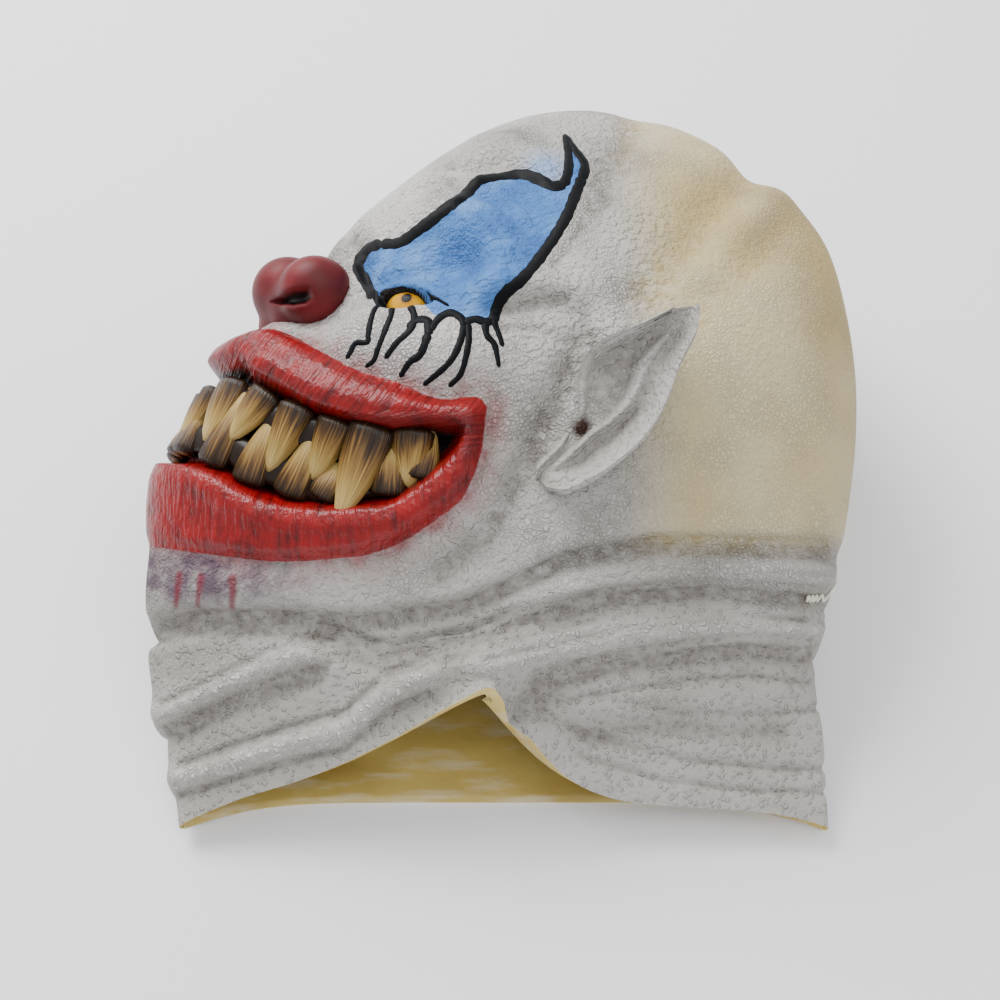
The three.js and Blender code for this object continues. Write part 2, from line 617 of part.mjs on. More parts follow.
function eyeSolid(mirror, keepOff) {
  let place = locate(EYE.at);
  if (mirror) place = under(place.turn, place.v);
  const axis = outward(place.turn, place.v);
  const centre = sunk(place, EYE.sunk);
  const { radius, wall, pupil } = EYE;
  const dome = wasm.Manifold.sphere(radius, 16)
    .subtract(wasm.Manifold.sphere(radius - wall, 12))
    .subtract(wasm.Manifold.cube([4 * radius, 4 * radius, 2 * radius], true).translate([0, 0, -radius * 0.8]))
    .subtract(wasm.Manifold.cylinder(2 * radius, pupil, pupil, 8));
  return largest(stand(dome, centre, axis).subtract(keepOff).subtract(table));
}

function noseSolid(head) {
  const ringPlace = locate(NOSE.at);
  const at = plain(ringPlace.turn, ringPlace.v);
  const z = NOSE.height * HEIGHT;
  const y = at.y + ((at.z - z) * Math.cos(SLANT)) / Math.sin(SLANT);
  const ball = wasm.Manifold.sphere(1, 24).scale(NOSE.size).translate([at.x, y, z]);
  const wings = NOSE.wings.map(([back, drop, side]) => wasm.Manifold.sphere(1, 20).scale(NOSE.wing)
    .translate([at.x + back, y - drop, z + side]));
  return largest(wasm.Manifold.union([ball, ...wings]).subtract(head));
}

// The thread goes to and fro in one flat plane over the skin, so that all its faces are flat.
function stitchSolid() {
  const { at, run, rise, radius, turns } = STITCH;
  const place = locate(at);
  const next = locate([at[0] + run / 2 / DEPTH, at[1]]);
  const up = outward(place.turn, place.v);
  const foot = skin(place.turn, place.v);
  const along = skin(next.turn, next.v).sub(foot);
  along.addScaledVector(up, -along.dot(up)).normalize();
  const across = new THREE.Vector3().crossVectors(up, along);
  const middle = foot.addScaledVector(up, radius + GAP + 1.5);
  const points = [];
  for (let i = 0; i <= turns * 2; i += 1) {
    const centre = middle.clone().addScaledVector(along, (i / (turns * 2) - 0.5) * run)
      .addScaledVector(across, (i % 2 ? 0.5 : -0.5) * rise);
    for (let k = 0; k < 6; k += 1) {
      points.push(centre.clone().addScaledVector(across, radius * Math.cos((k * Math.PI) / 3))
        .addScaledVector(up, radius * Math.sin((k * Math.PI) / 3)));
    }
  }
  const rings = turns * 2 + 1;
  return solid(points, [
    ...strips(0, rings, 6, true, true),
    ...Array.from({ length: 4 }, (_, k) => [0, k + 1, k + 2]),
    ...Array.from({ length: 4 }, (_, k) => [(rings - 1) * 6, (rings - 1) * 6 + k + 2, (rings - 1) * 6 + k + 1]),
  ]);
}

const group = new THREE.Group();
group.name = 'clown_mask';

function addPiece(name, body, colour, roughness) {
  const material = new THREE.MeshStandardMaterial({ color: colour, roughness, metalness: 0 });
  const mesh = new THREE.Mesh(toGeometry(body.getMesh()), material);
  mesh.name = name;
  group.add(mesh);
}

const slits = (shrink) => slitSolid(false, shrink).add(slitSolid(true, shrink));
const eared = headShell().subtract(slits(0)).add(earSolid(false)).add(earSolid(true));
const mask = largest(eared.simplify(FINENESS));
const keepOff = headShell(2 * GAP).subtract(slits(GAP));

const table = wasm.Manifold.cube([2 * DEPTH, 2 * LENGTH, 20], true).translate([0, 0, GAP - 10]);

// One row of teeth on its strip, as the union of both halves.
function toothRow(teeth, rise, front, grow = 0) {
  const sides = teeth.flatMap((tooth) => [1, -1].map((side) => toothSolid(tooth, side, rise, grow)));
  const middle = front.map((side) => toothSolid(teeth[0], side, rise, grow));
  return wasm.Manifold.union([gumStrip(teeth, rise, grow), ...sides, ...middle]);
}

const trimmed = (row) => largest(row.subtract(keepOff).subtract(table).simplify(TOOTH.fineness));
const upperRow = trimmed(toothRow(UPPER_TEETH, TOOTH.upperRise, FRONT_TEETH.upper));
const lowerRow = trimmed(toothRow(LOWER_TEETH, TOOTH.lowerRise, FRONT_TEETH.lower)
  .subtract(toothRow(UPPER_TEETH, TOOTH.upperRise, FRONT_TEETH.upper, 2 * GAP)));

addPiece('mask_shell', mask, 0xc9c7c0, 0.75);
addPiece('nose', noseSolid(headFilled(GAP)), 0x5e2023, 0.45);
addPiece('upper_teeth', upperRow, 0xc9b378, 0.3);
addPiece('lower_teeth', lowerRow, 0xb59c62, 0.3);
addPiece('left_eye', eyeSolid(false, keepOff), 0xd9a21b, 0.2);
addPiece('right_eye', eyeSolid(true, keepOff), 0xd9a21b, 0.2);
addPiece('neck_stitch', stitchSolid(), 0xe6e1cf, 0.8);

const middle = new THREE.Box3().setFromObject(group).getCenter(new THREE.Vector3());
group.children.forEach((mesh) => mesh.geometry.translate(-middle.x, -middle.y, 0));

export default group;
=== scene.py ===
"""Looks of the lying clown mask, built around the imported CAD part."""

import logging
import math
from dataclasses import dataclass, field
from enum import Enum
from typing import ClassVar

import bpy
import numpy as np
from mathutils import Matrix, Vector

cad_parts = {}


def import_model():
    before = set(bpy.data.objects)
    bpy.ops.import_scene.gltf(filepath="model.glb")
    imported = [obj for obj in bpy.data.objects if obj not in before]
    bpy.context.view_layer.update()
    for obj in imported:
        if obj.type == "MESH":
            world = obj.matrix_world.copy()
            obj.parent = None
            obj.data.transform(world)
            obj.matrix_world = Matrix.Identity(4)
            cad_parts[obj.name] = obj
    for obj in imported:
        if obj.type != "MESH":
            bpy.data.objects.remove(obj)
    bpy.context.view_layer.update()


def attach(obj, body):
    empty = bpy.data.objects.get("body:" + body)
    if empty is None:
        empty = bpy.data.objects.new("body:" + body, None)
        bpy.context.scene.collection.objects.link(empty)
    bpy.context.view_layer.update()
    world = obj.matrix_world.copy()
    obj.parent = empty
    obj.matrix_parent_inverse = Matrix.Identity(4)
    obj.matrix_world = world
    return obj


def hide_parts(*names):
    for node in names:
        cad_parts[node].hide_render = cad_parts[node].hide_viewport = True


logging.basicConfig(level=logging.INFO, format="%(message)s")
LOG = logging.getLogger("clown_mask")

Socket = bpy.types.NodeSocket
MM = 0.001
FULL_TURN = 2 * math.pi
FLOOR_GAP = 0.4 * MM


@dataclass(frozen=True)
class Sizes:
    """Named sizes of the mask in metres, as it lies on its right side."""

    depth: float = 0.315
    length: float = 0.349
    height: float = 0.150
    wall: float = 0.002
    slant: float = math.radians(55)
    slant_height: float = 0.43
    centring: float = 0.0011


SIZES = Sizes()


class Finish(Enum):
    """Names of material slots."""

    SKIN = "latex_skin"
    NOSE = "nose_paint"
    TEETH = "teeth"
    EYE = "eye"
    THREAD = "thread"


def linear(code: str) -> tuple[float, float, float, float]:
    """Turns an sRGB hex colour into linear light.

    Args:
        code: Colour such as "C9C7C0".

    Returns:
        Red, green, blue and alpha in linear light.
    """
    parts = [int(code[i : i + 2], 16) / 255 for i in (0, 2, 4)]
    bent = [c / 12.92 if c <= 0.04045 else ((c + 0.055) / 1.055) ** 2.4 for c in parts]
    return (*bent, 1.0)


def smooth(t: np.ndarray | float) -> np.ndarray | float:
    """Eases a share from 0 to 1.

    Args:
        t: Share, held to 0..1.

    Returns:
        The eased share.
    """
    t = np.clip(t, 0.0, 1.0)
    return t * t * (3 - 2 * t)


def mix(a: float, b: float, t: np.ndarray | float) -> np.ndarray | float:
    """Blends two values.

    Args:
        a: Value at 0.
        b: Value at 1.
        t: Share of b.

    Returns:
        The blend.
    """
    return a + (b - a) * t


def bell(far: np.ndarray) -> np.ndarray:
    """Falls off smoothly from 1 around a place.

    Args:
        far: Distance from the place over the width of the bell.

    Returns:
        The share that is left.
    """
    return np.exp(-(far**2))


def unit(vectors: np.ndarray) -> np.ndarray:
    """Brings vectors to length 1.

    Args:
        vectors: One vector per row.

    Returns:
        The directions.
    """
    return vectors / np.linalg.norm(vectors, axis=1, keepdims=True)


def raised(points: np.ndarray, level: float | np.ndarray) -> np.ndarray:
    """Keeps points from sinking below a level.

    Args:
        points: Points in metres.
        level: Lowest height, in metres.

    Returns:
        The points.
    """
    points[..., 2] = np.maximum(points[..., 2], level)
    return points


def spline(table: np.ndarray, at: np.ndarray) -> np.ndarray:
    """Runs a smooth curve through the rows of a table.

    Args:
        table: Rows to pass through.
        at: Shares of the way through the rows, 0..1.

    Returns:
        One interpolated row per share.
    """
    last = len(table) - 1
    t = np.clip(at, 0, 1) * last
    i = np.minimum(t.astype(int), last - 1)
    f = (t - i)[..., None]
    p1, p2 = table[i], table[i + 1]
    p0 = np.where(i[..., None] > 0, table[np.maximum(i - 1, 0)], 2 * p1 - p2)
    p3 = np.where(i[..., None] < last - 1, table[np.minimum(i + 2, last)], 2 * p2 - p1)
    return 0.5 * (
        2 * p1
        + (p2 - p0) * f
        + (2 * p0 - 5 * p1 + 4 * p2 - p3) * f**2
        + (3 * p1 - p0 - 3 * p2 + p3) * f**3
    )


def line_distance(spots: np.ndarray, line: np.ndarray) -> np.ndarray:
    """Measures spots against an open line.

    Args:
        spots: Places in the slant view, one row each.
        line: Corners of the line in the slant view.

    Returns:
        Distance of each spot from the line.
    """
    best = np.full(len(spots), 1e9)
    for a, b in zip(line[:-1], line[1:]):
        run = b - a
        t = np.clip((spots - a) @ run / (run @ run + 1e-18), 0, 1)
        best = np.minimum(best, np.hypot(*(spots - a - t[:, None] * run).T))
    return best


def inside_distance(spots: np.ndarray, outline: np.ndarray) -> np.ndarray:
    """Measures spots against a closed outline.

    Args:
        spots: Places in the slant view.
        outline: Corners of the outline.

    Returns:
        Distance from the outline, positive inside it.
    """
    within = np.zeros(len(spots), bool)
    x, y = spots.T
    for (ax, ay), (bx, by) in zip(outline, np.roll(outline, 1, axis=0)):
        crosses = (ay > y) != (by > y)
        rise = by - ay if by != ay else 1e-12
        within ^= crosses & (x < (bx - ax) * (y - ay) / rise + ax)
    far = line_distance(spots, np.vstack([outline, outline[:1]]))
    return np.where(within, far, -far)


def shares(*numbers: float) -> np.ndarray:
    """Turns thousandths of the depth and of the length into metres of the slant view.

    Args:
        numbers: Depth and rise of each corner, one after the other.

    Returns:
        The corners in metres.
    """
    return np.reshape(numbers, (-1, 2)) / 1000 * (SIZES.depth, SIZES.length)


def away_mm(spots: np.ndarray, *at: float) -> np.ndarray:
    """Measures spots against a place.

    Args:
        spots: Places in the slant view, in metres.
        at: Depth and rise of the place in thousandths.

    Returns:
        Distances in millimetres.
    """
    return np.hypot(*((spots - shares(*at)) / MM).T)


class HeadForm:
    """The plain head form that every feature is placed on."""

    # up, front, back, crest, fold, top, low: shares of length, depth (3) and height (3)
    RINGS = np.array([
        [0.000, 0.054, 0.930, 0.470, 0.060, 0.130, -0.022],
        [0.048, 0.045, 0.930, 0.480, 0.095, 0.210, -0.022],
        [0.105, 0.026, 0.929, 0.500, 0.150, 0.340, -0.022],
        [0.170, 0.006, 0.920, 0.520, 0.230, 0.470, -0.022],
        [0.236, 0.000, 0.938, 0.540, 0.330, 0.620, -0.022],
        [0.310, 0.002, 0.961, 0.550, 0.410, 0.760, -0.022],
        [0.380, 0.000, 0.979, 0.560, 0.450, 0.870, -0.022],
        [0.450, 0.029, 0.993, 0.570, 0.480, 0.950, -0.022],
        [0.530, 0.072, 1.000, 0.580, 0.520, 1.000, -0.022],
        [0.610, 0.138, 0.992, 0.580, 0.600, 1.000, -0.022],
        [0.690, 0.220, 0.975, 0.580, 0.660, 0.990, -0.022],
        [0.760, 0.285, 0.948, 0.585, 0.650, 0.965, -0.018],
        [0.822, 0.332, 0.914, 0.590, 0.610, 0.925, -0.008],
        [0.874, 0.372, 0.872, 0.600, 0.570, 0.875, 0.010],
        [0.918, 0.414, 0.828, 0.605, 0.545, 0.815, 0.040],
        [0.955, 0.458, 0.780, 0.610, 0.530, 0.745, 0.090],
        [0.981, 0.512, 0.730, 0.615, 0.540, 0.670, 0.180],
        [0.996, 0.566, 0.678, 0.620, 0.545, 0.595, 0.360],
        [1.000, 0.620, 0.620, 0.620, 0.550, 0.550, 0.550],
    ])
    FRONT_ROUND, BACK_ROUND, UPPER_ROUND, LOWER_ROUND = 2.1, 2.2, 2.0, 3.4
    # hollow of the neck edge: middle, half width and reach in shares, and its depth above and below
    EDGE_AT, EDGE_HALF, EDGE_END, EDGE_UPPER, EDGE_LOWER = 0.49, 0.44, 0.12, 6 * MM, 16 * MM
    # arch of the neck edge: its place, its reach to the face and to the back in shares, and its sharpness
    ARCH_AT, ARCH_FRONT, ARCH_BACK, ARCH_POWER = 0.475, 0.20, 0.08, 1.4
    # how far the arch bows up and draws in, and the shares of the length where that ends
    ARCH_UP, ARCH_UP_END, ARCH_UP_FADE, ARCH_IN, ARCH_IN_END = 50 * MM, 0.26, 1.6, 29 * MM, 0.16
    # search on the upper side: angles and rings of the first look, rounds, probe and longest step after it
    SEARCH, ROUNDS, PROBE, LONGEST = (120, 160), 8, 1e-4, 0.03

    def plain(self, turn: np.ndarray, share: np.ndarray) -> np.ndarray:
        """Places points on the plain form.

        Args:
            turn: Angle around a ring, 0 at the face and a quarter turn at the upper cheek.
            share: Share of the way through the rings, from the neck edge to the crown.

        Returns:
            Points in metres.
        """
        up, front, back, crest, fold, top, low = np.moveaxis(spline(self.RINGS, share), -1, 0)
        c, s = np.cos(turn), np.sin(turn)
        reach = np.where(c > 0, crest - front, back - crest)
        bend = np.where(c > 0, self.FRONT_ROUND, self.BACK_ROUND)
        x = crest - np.sign(c) * reach * np.abs(c) ** (2 / bend)
        half = np.where(s > 0, top - fold, fold - low)
        curve = np.where(s > 0, self.UPPER_ROUND, self.LOWER_ROUND)
        z = (fold + np.sign(s) * half * np.abs(s) ** (2 / curve)) * SIZES.height
        off = np.minimum(1, np.abs(x - self.EDGE_AT) / self.EDGE_HALF)
        recess = np.where(s > 0, self.EDGE_UPPER, self.EDGE_LOWER)
        y = (up - 0.5) * SIZES.length + recess * np.clip(1 - up / self.EDGE_END, 0, 1) * (1 - off**6)
        near = np.abs(x - self.ARCH_AT) / np.where(x < self.ARCH_AT, self.ARCH_FRONT, self.ARCH_BACK)
        bow = np.where(s > 0, np.exp(-(near**self.ARCH_POWER)) * np.clip(s * 1.6, 0, 1), 0)
        z = z + self.ARCH_UP * bow * np.clip(1 - up / self.ARCH_UP_END, 0, 1) ** self.ARCH_UP_FADE
        y = y + self.ARCH_IN * bow * np.clip(1 - up / self.ARCH_IN_END, 0, 1)
        return np.stack([(x - 0.5) * SIZES.depth + SIZES.centring, y, z], -1)

    def outward(self, turn: np.ndarray, share: np.ndarray) -> np.ndarray:
        """Finds the outward direction of the plain form.

        Args:
            turn: Angle around a ring.
            share: Share of the way through the rings.

        Returns:
            Unit vectors.
        """
        w = np.clip(share, 0.004, 0.985)
        step = 0.003
        across = self.plain(turn + step, w) - self.plain(turn - step, w)
        along = self.plain(turn, w + step) - self.plain(turn, w - step)
        out = np.cross(across, along)
        return out / (np.linalg.norm(out, axis=-1, keepdims=True) + 1e-12)

    def slant_view(self, points: np.ndarray) -> np.ndarray:
        """Looks at points from the tilted side that the features are drawn from.

        Args:
            points: Points in metres.

        Returns:
            Depth from the front and rise from the neck edge, in metres.
        """
        x, y, z = np.moveaxis(points, -1, 0)
        tall = z / SIZES.height * SIZES.slant_height * SIZES.length
        rise = (y + SIZES.length / 2) * math.sin(SIZES.slant) + tall * math.cos(SIZES.slant)
        return np.stack([x + SIZES.depth / 2 - SIZES.centring, rise], -1)

    def locate(self, spots: np.ndarray) -> np.ndarray:
        """Finds where spots of the slant view lie on the upper side.

        Args:
            spots: Places in the slant view, in metres.

        Returns:
            Turn and ring share of each spot.
        """
        angles, rings = self.SEARCH
        t, v = np.meshgrid(np.linspace(0, math.pi, angles), np.linspace(0.02, 0.97, rings))
        seen = self.slant_view(self.plain(t, v)).reshape(-1, 2)
        nearest = [int(((seen - spot) ** 2).sum(1).argmin()) for spot in spots]
        place = np.stack([t.ravel()[nearest], v.ravel()[nearest]], 1)
        probes = ((self.PROBE, 0), (0, self.PROBE))
        for _ in range(self.ROUNDS):
            here = self.slant_view(self.plain(*place.T))
            steps = [self.slant_view(self.plain(*(place + probe).T)) - here for probe in probes]
            slope = np.stack(steps, -1) / self.PROBE
            size = np.linalg.det(slope)
            miss = spots - here
            turn = (miss[:, 0] * slope[:, 1, 1] - miss[:, 1] * slope[:, 0, 1]) / size
            share = (slope[:, 0, 0] * miss[:, 1] - slope[:, 1, 0] * miss[:, 0]) / size
            step = np.clip(np.nan_to_num(np.stack([turn, share], 1)), -self.LONGEST, self.LONGEST)
            place = np.clip(place + step, (0, 0), (math.pi, 1))
        return place

    def lifted(self, spots: np.ndarray, lifts: np.ndarray) -> np.ndarray:
        """Places points above the upper side that show at spots of the slant view.

        Args:
            spots: Places in the slant view, in metres.
            lifts: Heights above the plain form.

        Returns:
            Points in metres.
        """
        guess = spots.copy()
        points = np.zeros((len(spots), 3))
        for _ in range(3):
            turn, share = self.locate(guess).T
            points = self.plain(turn, share) + self.outward(turn, share) * lifts[:, None]
            guess = guess + spots - self.slant_view(points)
        return points


FORM = HeadForm()


@dataclass(frozen=True)
class Fold:
    """A ridge of the skin, or a groove where the height is negative. Millimetres, and thousandths in the line."""

    height: float
    width: float
    line: tuple[float, ...]

    def lift(self, spots: np.ndarray) -> np.ndarray:
        """Measures the fold at spots.

        Args:
            spots: Places in the slant view, in metres.

        Returns:
            Height of the fold in metres.
        """
        return self.height * MM * bell(line_distance(spots, shares(*self.line)) / (self.width * MM))


@dataclass(frozen=True)
class Swell:
    """A rounded swelling or hollow: millimetres, its place in thousandths, and degrees."""

    height: float
    at: tuple[float, float]
    size: tuple[float, float]
    turn: float = 0.0

    def lift(self, spots: np.ndarray) -> np.ndarray:
        """Measures the swelling at spots.

        Args:
            spots: Places in the slant view, in metres.

        Returns:
            Height of the swelling in metres.
        """
        dx, dy = (spots - shares(*self.at)).T / MM
        angle = math.radians(self.turn)
        u = (dx * math.cos(angle) + dy * math.sin(angle)) / self.size[0]
        w = (dy * math.cos(angle) - dx * math.sin(angle)) / self.size[1]
        return self.height * MM * np.exp(-(u * u + w * w))


def beside(fold: Fold, away: float) -> Fold:
    """Makes a fine crease that runs along a fold.

    Args:
        fold: The fold.
        away: How far up the crease lies, in thousandths of the length.

    Returns:
        The crease.
    """
    depth, rise = np.reshape(fold.line, (-1, 2)).T
    return Fold(-2.2, 1.7, tuple(np.stack([depth, rise + away * (0.7 + 0.0006 * depth)], 1).ravel()))


UPPER_LIP_TOP = shares(
    -50, 580, 110, 615, 155, 634, 199, 621, 234, 602, 271, 583, 304, 568, 347, 557, 378, 544, 412, 534, 457,
    537, 470, 525,
)
UPPER_LIP_LOW = shares(
    -50, 560, 125, 583, 150, 568, 192, 548, 237, 526, 288, 511, 348, 500, 391, 503, 427, 500, 436, 494,
)
LOWER_LIP_TOP = shares(
    -50, 470, 52, 463, 110, 450, 142, 434, 184, 418, 227, 412, 266, 410, 306, 412, 343, 416, 365, 428, 387, 442,
    413, 463, 429, 480,
)
LOWER_LIP_LOW = shares(
    -50, 358, 8, 358, 68, 353, 133, 347, 196, 342, 272, 346, 319, 352, 363, 367, 402, 391, 436, 415, 454, 446,
    464, 476,
)
SOFT = np.linspace(0, 1, 34)
LIPS = np.vstack([spline(UPPER_LIP_TOP, SOFT), spline(LOWER_LIP_LOW, SOFT)[::-1]])
MOUTH = np.vstack([spline(UPPER_LIP_LOW, SOFT), spline(LOWER_LIP_TOP, SOFT)[::-1]])

EYE_SLIT = shares(
    318, 668, 326, 677, 341, 678, 356, 679, 375, 674, 396, 660, 394, 650, 365, 651, 343, 651, 326, 655,
)

BLUE_PATCH = shares(
    314, 666, 286, 711, 299, 734, 324, 737, 350, 736, 383, 755, 409, 773, 435, 794, 458, 821, 491, 831, 523,
    832, 547, 819, 561, 812, 578, 813, 582, 824, 584, 855, 582, 897, 597, 867, 608, 845, 605, 829, 591, 797,
    575, 761, 545, 715, 516, 679, 492, 660, 478, 646, 478, 626, 453, 627, 436, 633, 422, 640, 400, 634, 386,
    650, 366, 652, 343, 654, 326, 662,
)


# frontDepth, frontSlant, backDepth, backSlant (shares), frontLift, backLift, hollow (mm), lobe to tip
EAR_STATIONS = np.array([
    [0.533, 0.446, 0.548, 0.430, -1.5, 3, 0],
    [0.537, 0.459, 0.573, 0.427, -1.5, 7, 0],
    [0.562, 0.482, 0.609, 0.443, -1.5, 10, 3],
    [0.583, 0.508, 0.643, 0.466, -1.5, 13, 7],
    [0.590, 0.524, 0.668, 0.487, 0, 16, 10],
    [0.588, 0.543, 0.688, 0.512, 2, 18, 12],
    [0.588, 0.562, 0.704, 0.544, 4, 20, 14],
    [0.595, 0.581, 0.713, 0.568, 7, 21, 15],
    [0.611, 0.597, 0.724, 0.588, 11, 22, 13],
    [0.636, 0.609, 0.736, 0.608, 15, 22, 10],
    [0.668, 0.620, 0.742, 0.627, 18, 22, 6],
    [0.705, 0.636, 0.742, 0.641, 20, 22, 2],
])
EAR_OUTLINE = np.vstack([EAR_STATIONS[:, 0:2], EAR_STATIONS[::-1, 2:4]]) * (SIZES.depth, SIZES.length)


@dataclass(frozen=True)
class Stroke:
    """A painted line: width at its start and end in millimetres, and its corners in thousandths."""

    start: float
    end: float
    line: tuple[float, ...]

    def cover(self, spots: np.ndarray) -> np.ndarray:
        """Measures how far spots lie inside the stroke.

        Args:
            spots: Places in the slant view, in metres.

        Returns:
            Millimetres inside the edge of the paint, negative outside.
        """
        corners = shares(*self.line)
        fine = spline(corners, np.linspace(0, 1, 4 * len(corners)))
        best = np.full(len(spots), -1e3)
        count = len(fine) - 1
        for i in range(count):
            half = mix(self.start, self.end, i / max(1, count - 1)) / 2
            best = np.maximum(best, half - line_distance(spots, fine[i : i + 2]) / MM)
        return best


INK = (
    Stroke(4.6, 5.6, (314, 664, 300, 690, 288, 711, 299, 733, 324, 737)),
    Stroke(5.2, 5.4, (320, 737, 350, 736, 383, 755, 409, 773, 435, 794, 458, 821, 491, 831, 523, 832, 547, 819,
        561, 812, 580, 815)),
    Stroke(5.0, 3.0, (576, 812, 584, 838, 585, 868, 582, 900)),
    Stroke(2.8, 5.0, (583, 897, 595, 872, 608, 848, 603, 823)),
    Stroke(5.0, 4.8, (604, 829, 591, 797, 575, 761, 545, 715, 516, 679, 492, 660, 482, 642, 478, 625)),
    Stroke(3.6, 2.6, (312, 676, 318, 664, 324, 656, 334, 652, 343, 651)),
    Stroke(1.8, 1.2, (392, 660, 404, 656, 420, 647)),
    Stroke(2.6, 2.0, (343, 651, 354, 656, 366, 652)),
    Stroke(2.4, 2.4, (323, 655, 317, 637, 313, 613, 312, 603, 296, 603, 288, 591, 283, 584)),
    Stroke(2.8, 2.0, (343, 652, 342, 635, 333, 610, 326, 593, 321, 581, 309, 573)),
    Stroke(3.4, 2.2, (366, 653, 374, 633, 369, 616, 352, 601, 336, 582)),
    Stroke(3.0, 4.2, (366, 617, 373, 626, 383, 630, 393, 626, 394, 608)),
    Stroke(3.8, 2.2, (394, 612, 384, 587, 369, 577, 356, 560)),
    Stroke(3.4, 3.4, (394, 614, 408, 632, 422, 638, 436, 631, 441, 619)),
    Stroke(3.2, 2.2, (441, 624, 434, 598, 420, 575, 387, 550)),
    Stroke(3.0, 2.0, (445, 625, 446, 600, 437, 565, 420, 548)),
    Stroke(3.4, 3.6, (438, 624, 453, 630, 466, 627, 479, 628)),
    Stroke(3.2, 1.8, (467, 627, 470, 610, 480, 598, 486, 571)),
    Stroke(2.8, 1.8, (478, 630, 486, 611, 491, 596)),
)

RED_RUNS = (
    Stroke(3.0, 1.4, (57, 324, 55, 305, 51, 286)),
    Stroke(3.0, 1.2, (89, 323, 87, 306, 83, 289)),
    Stroke(3.2, 1.8, (134, 322, 135, 306, 131, 287)),
)


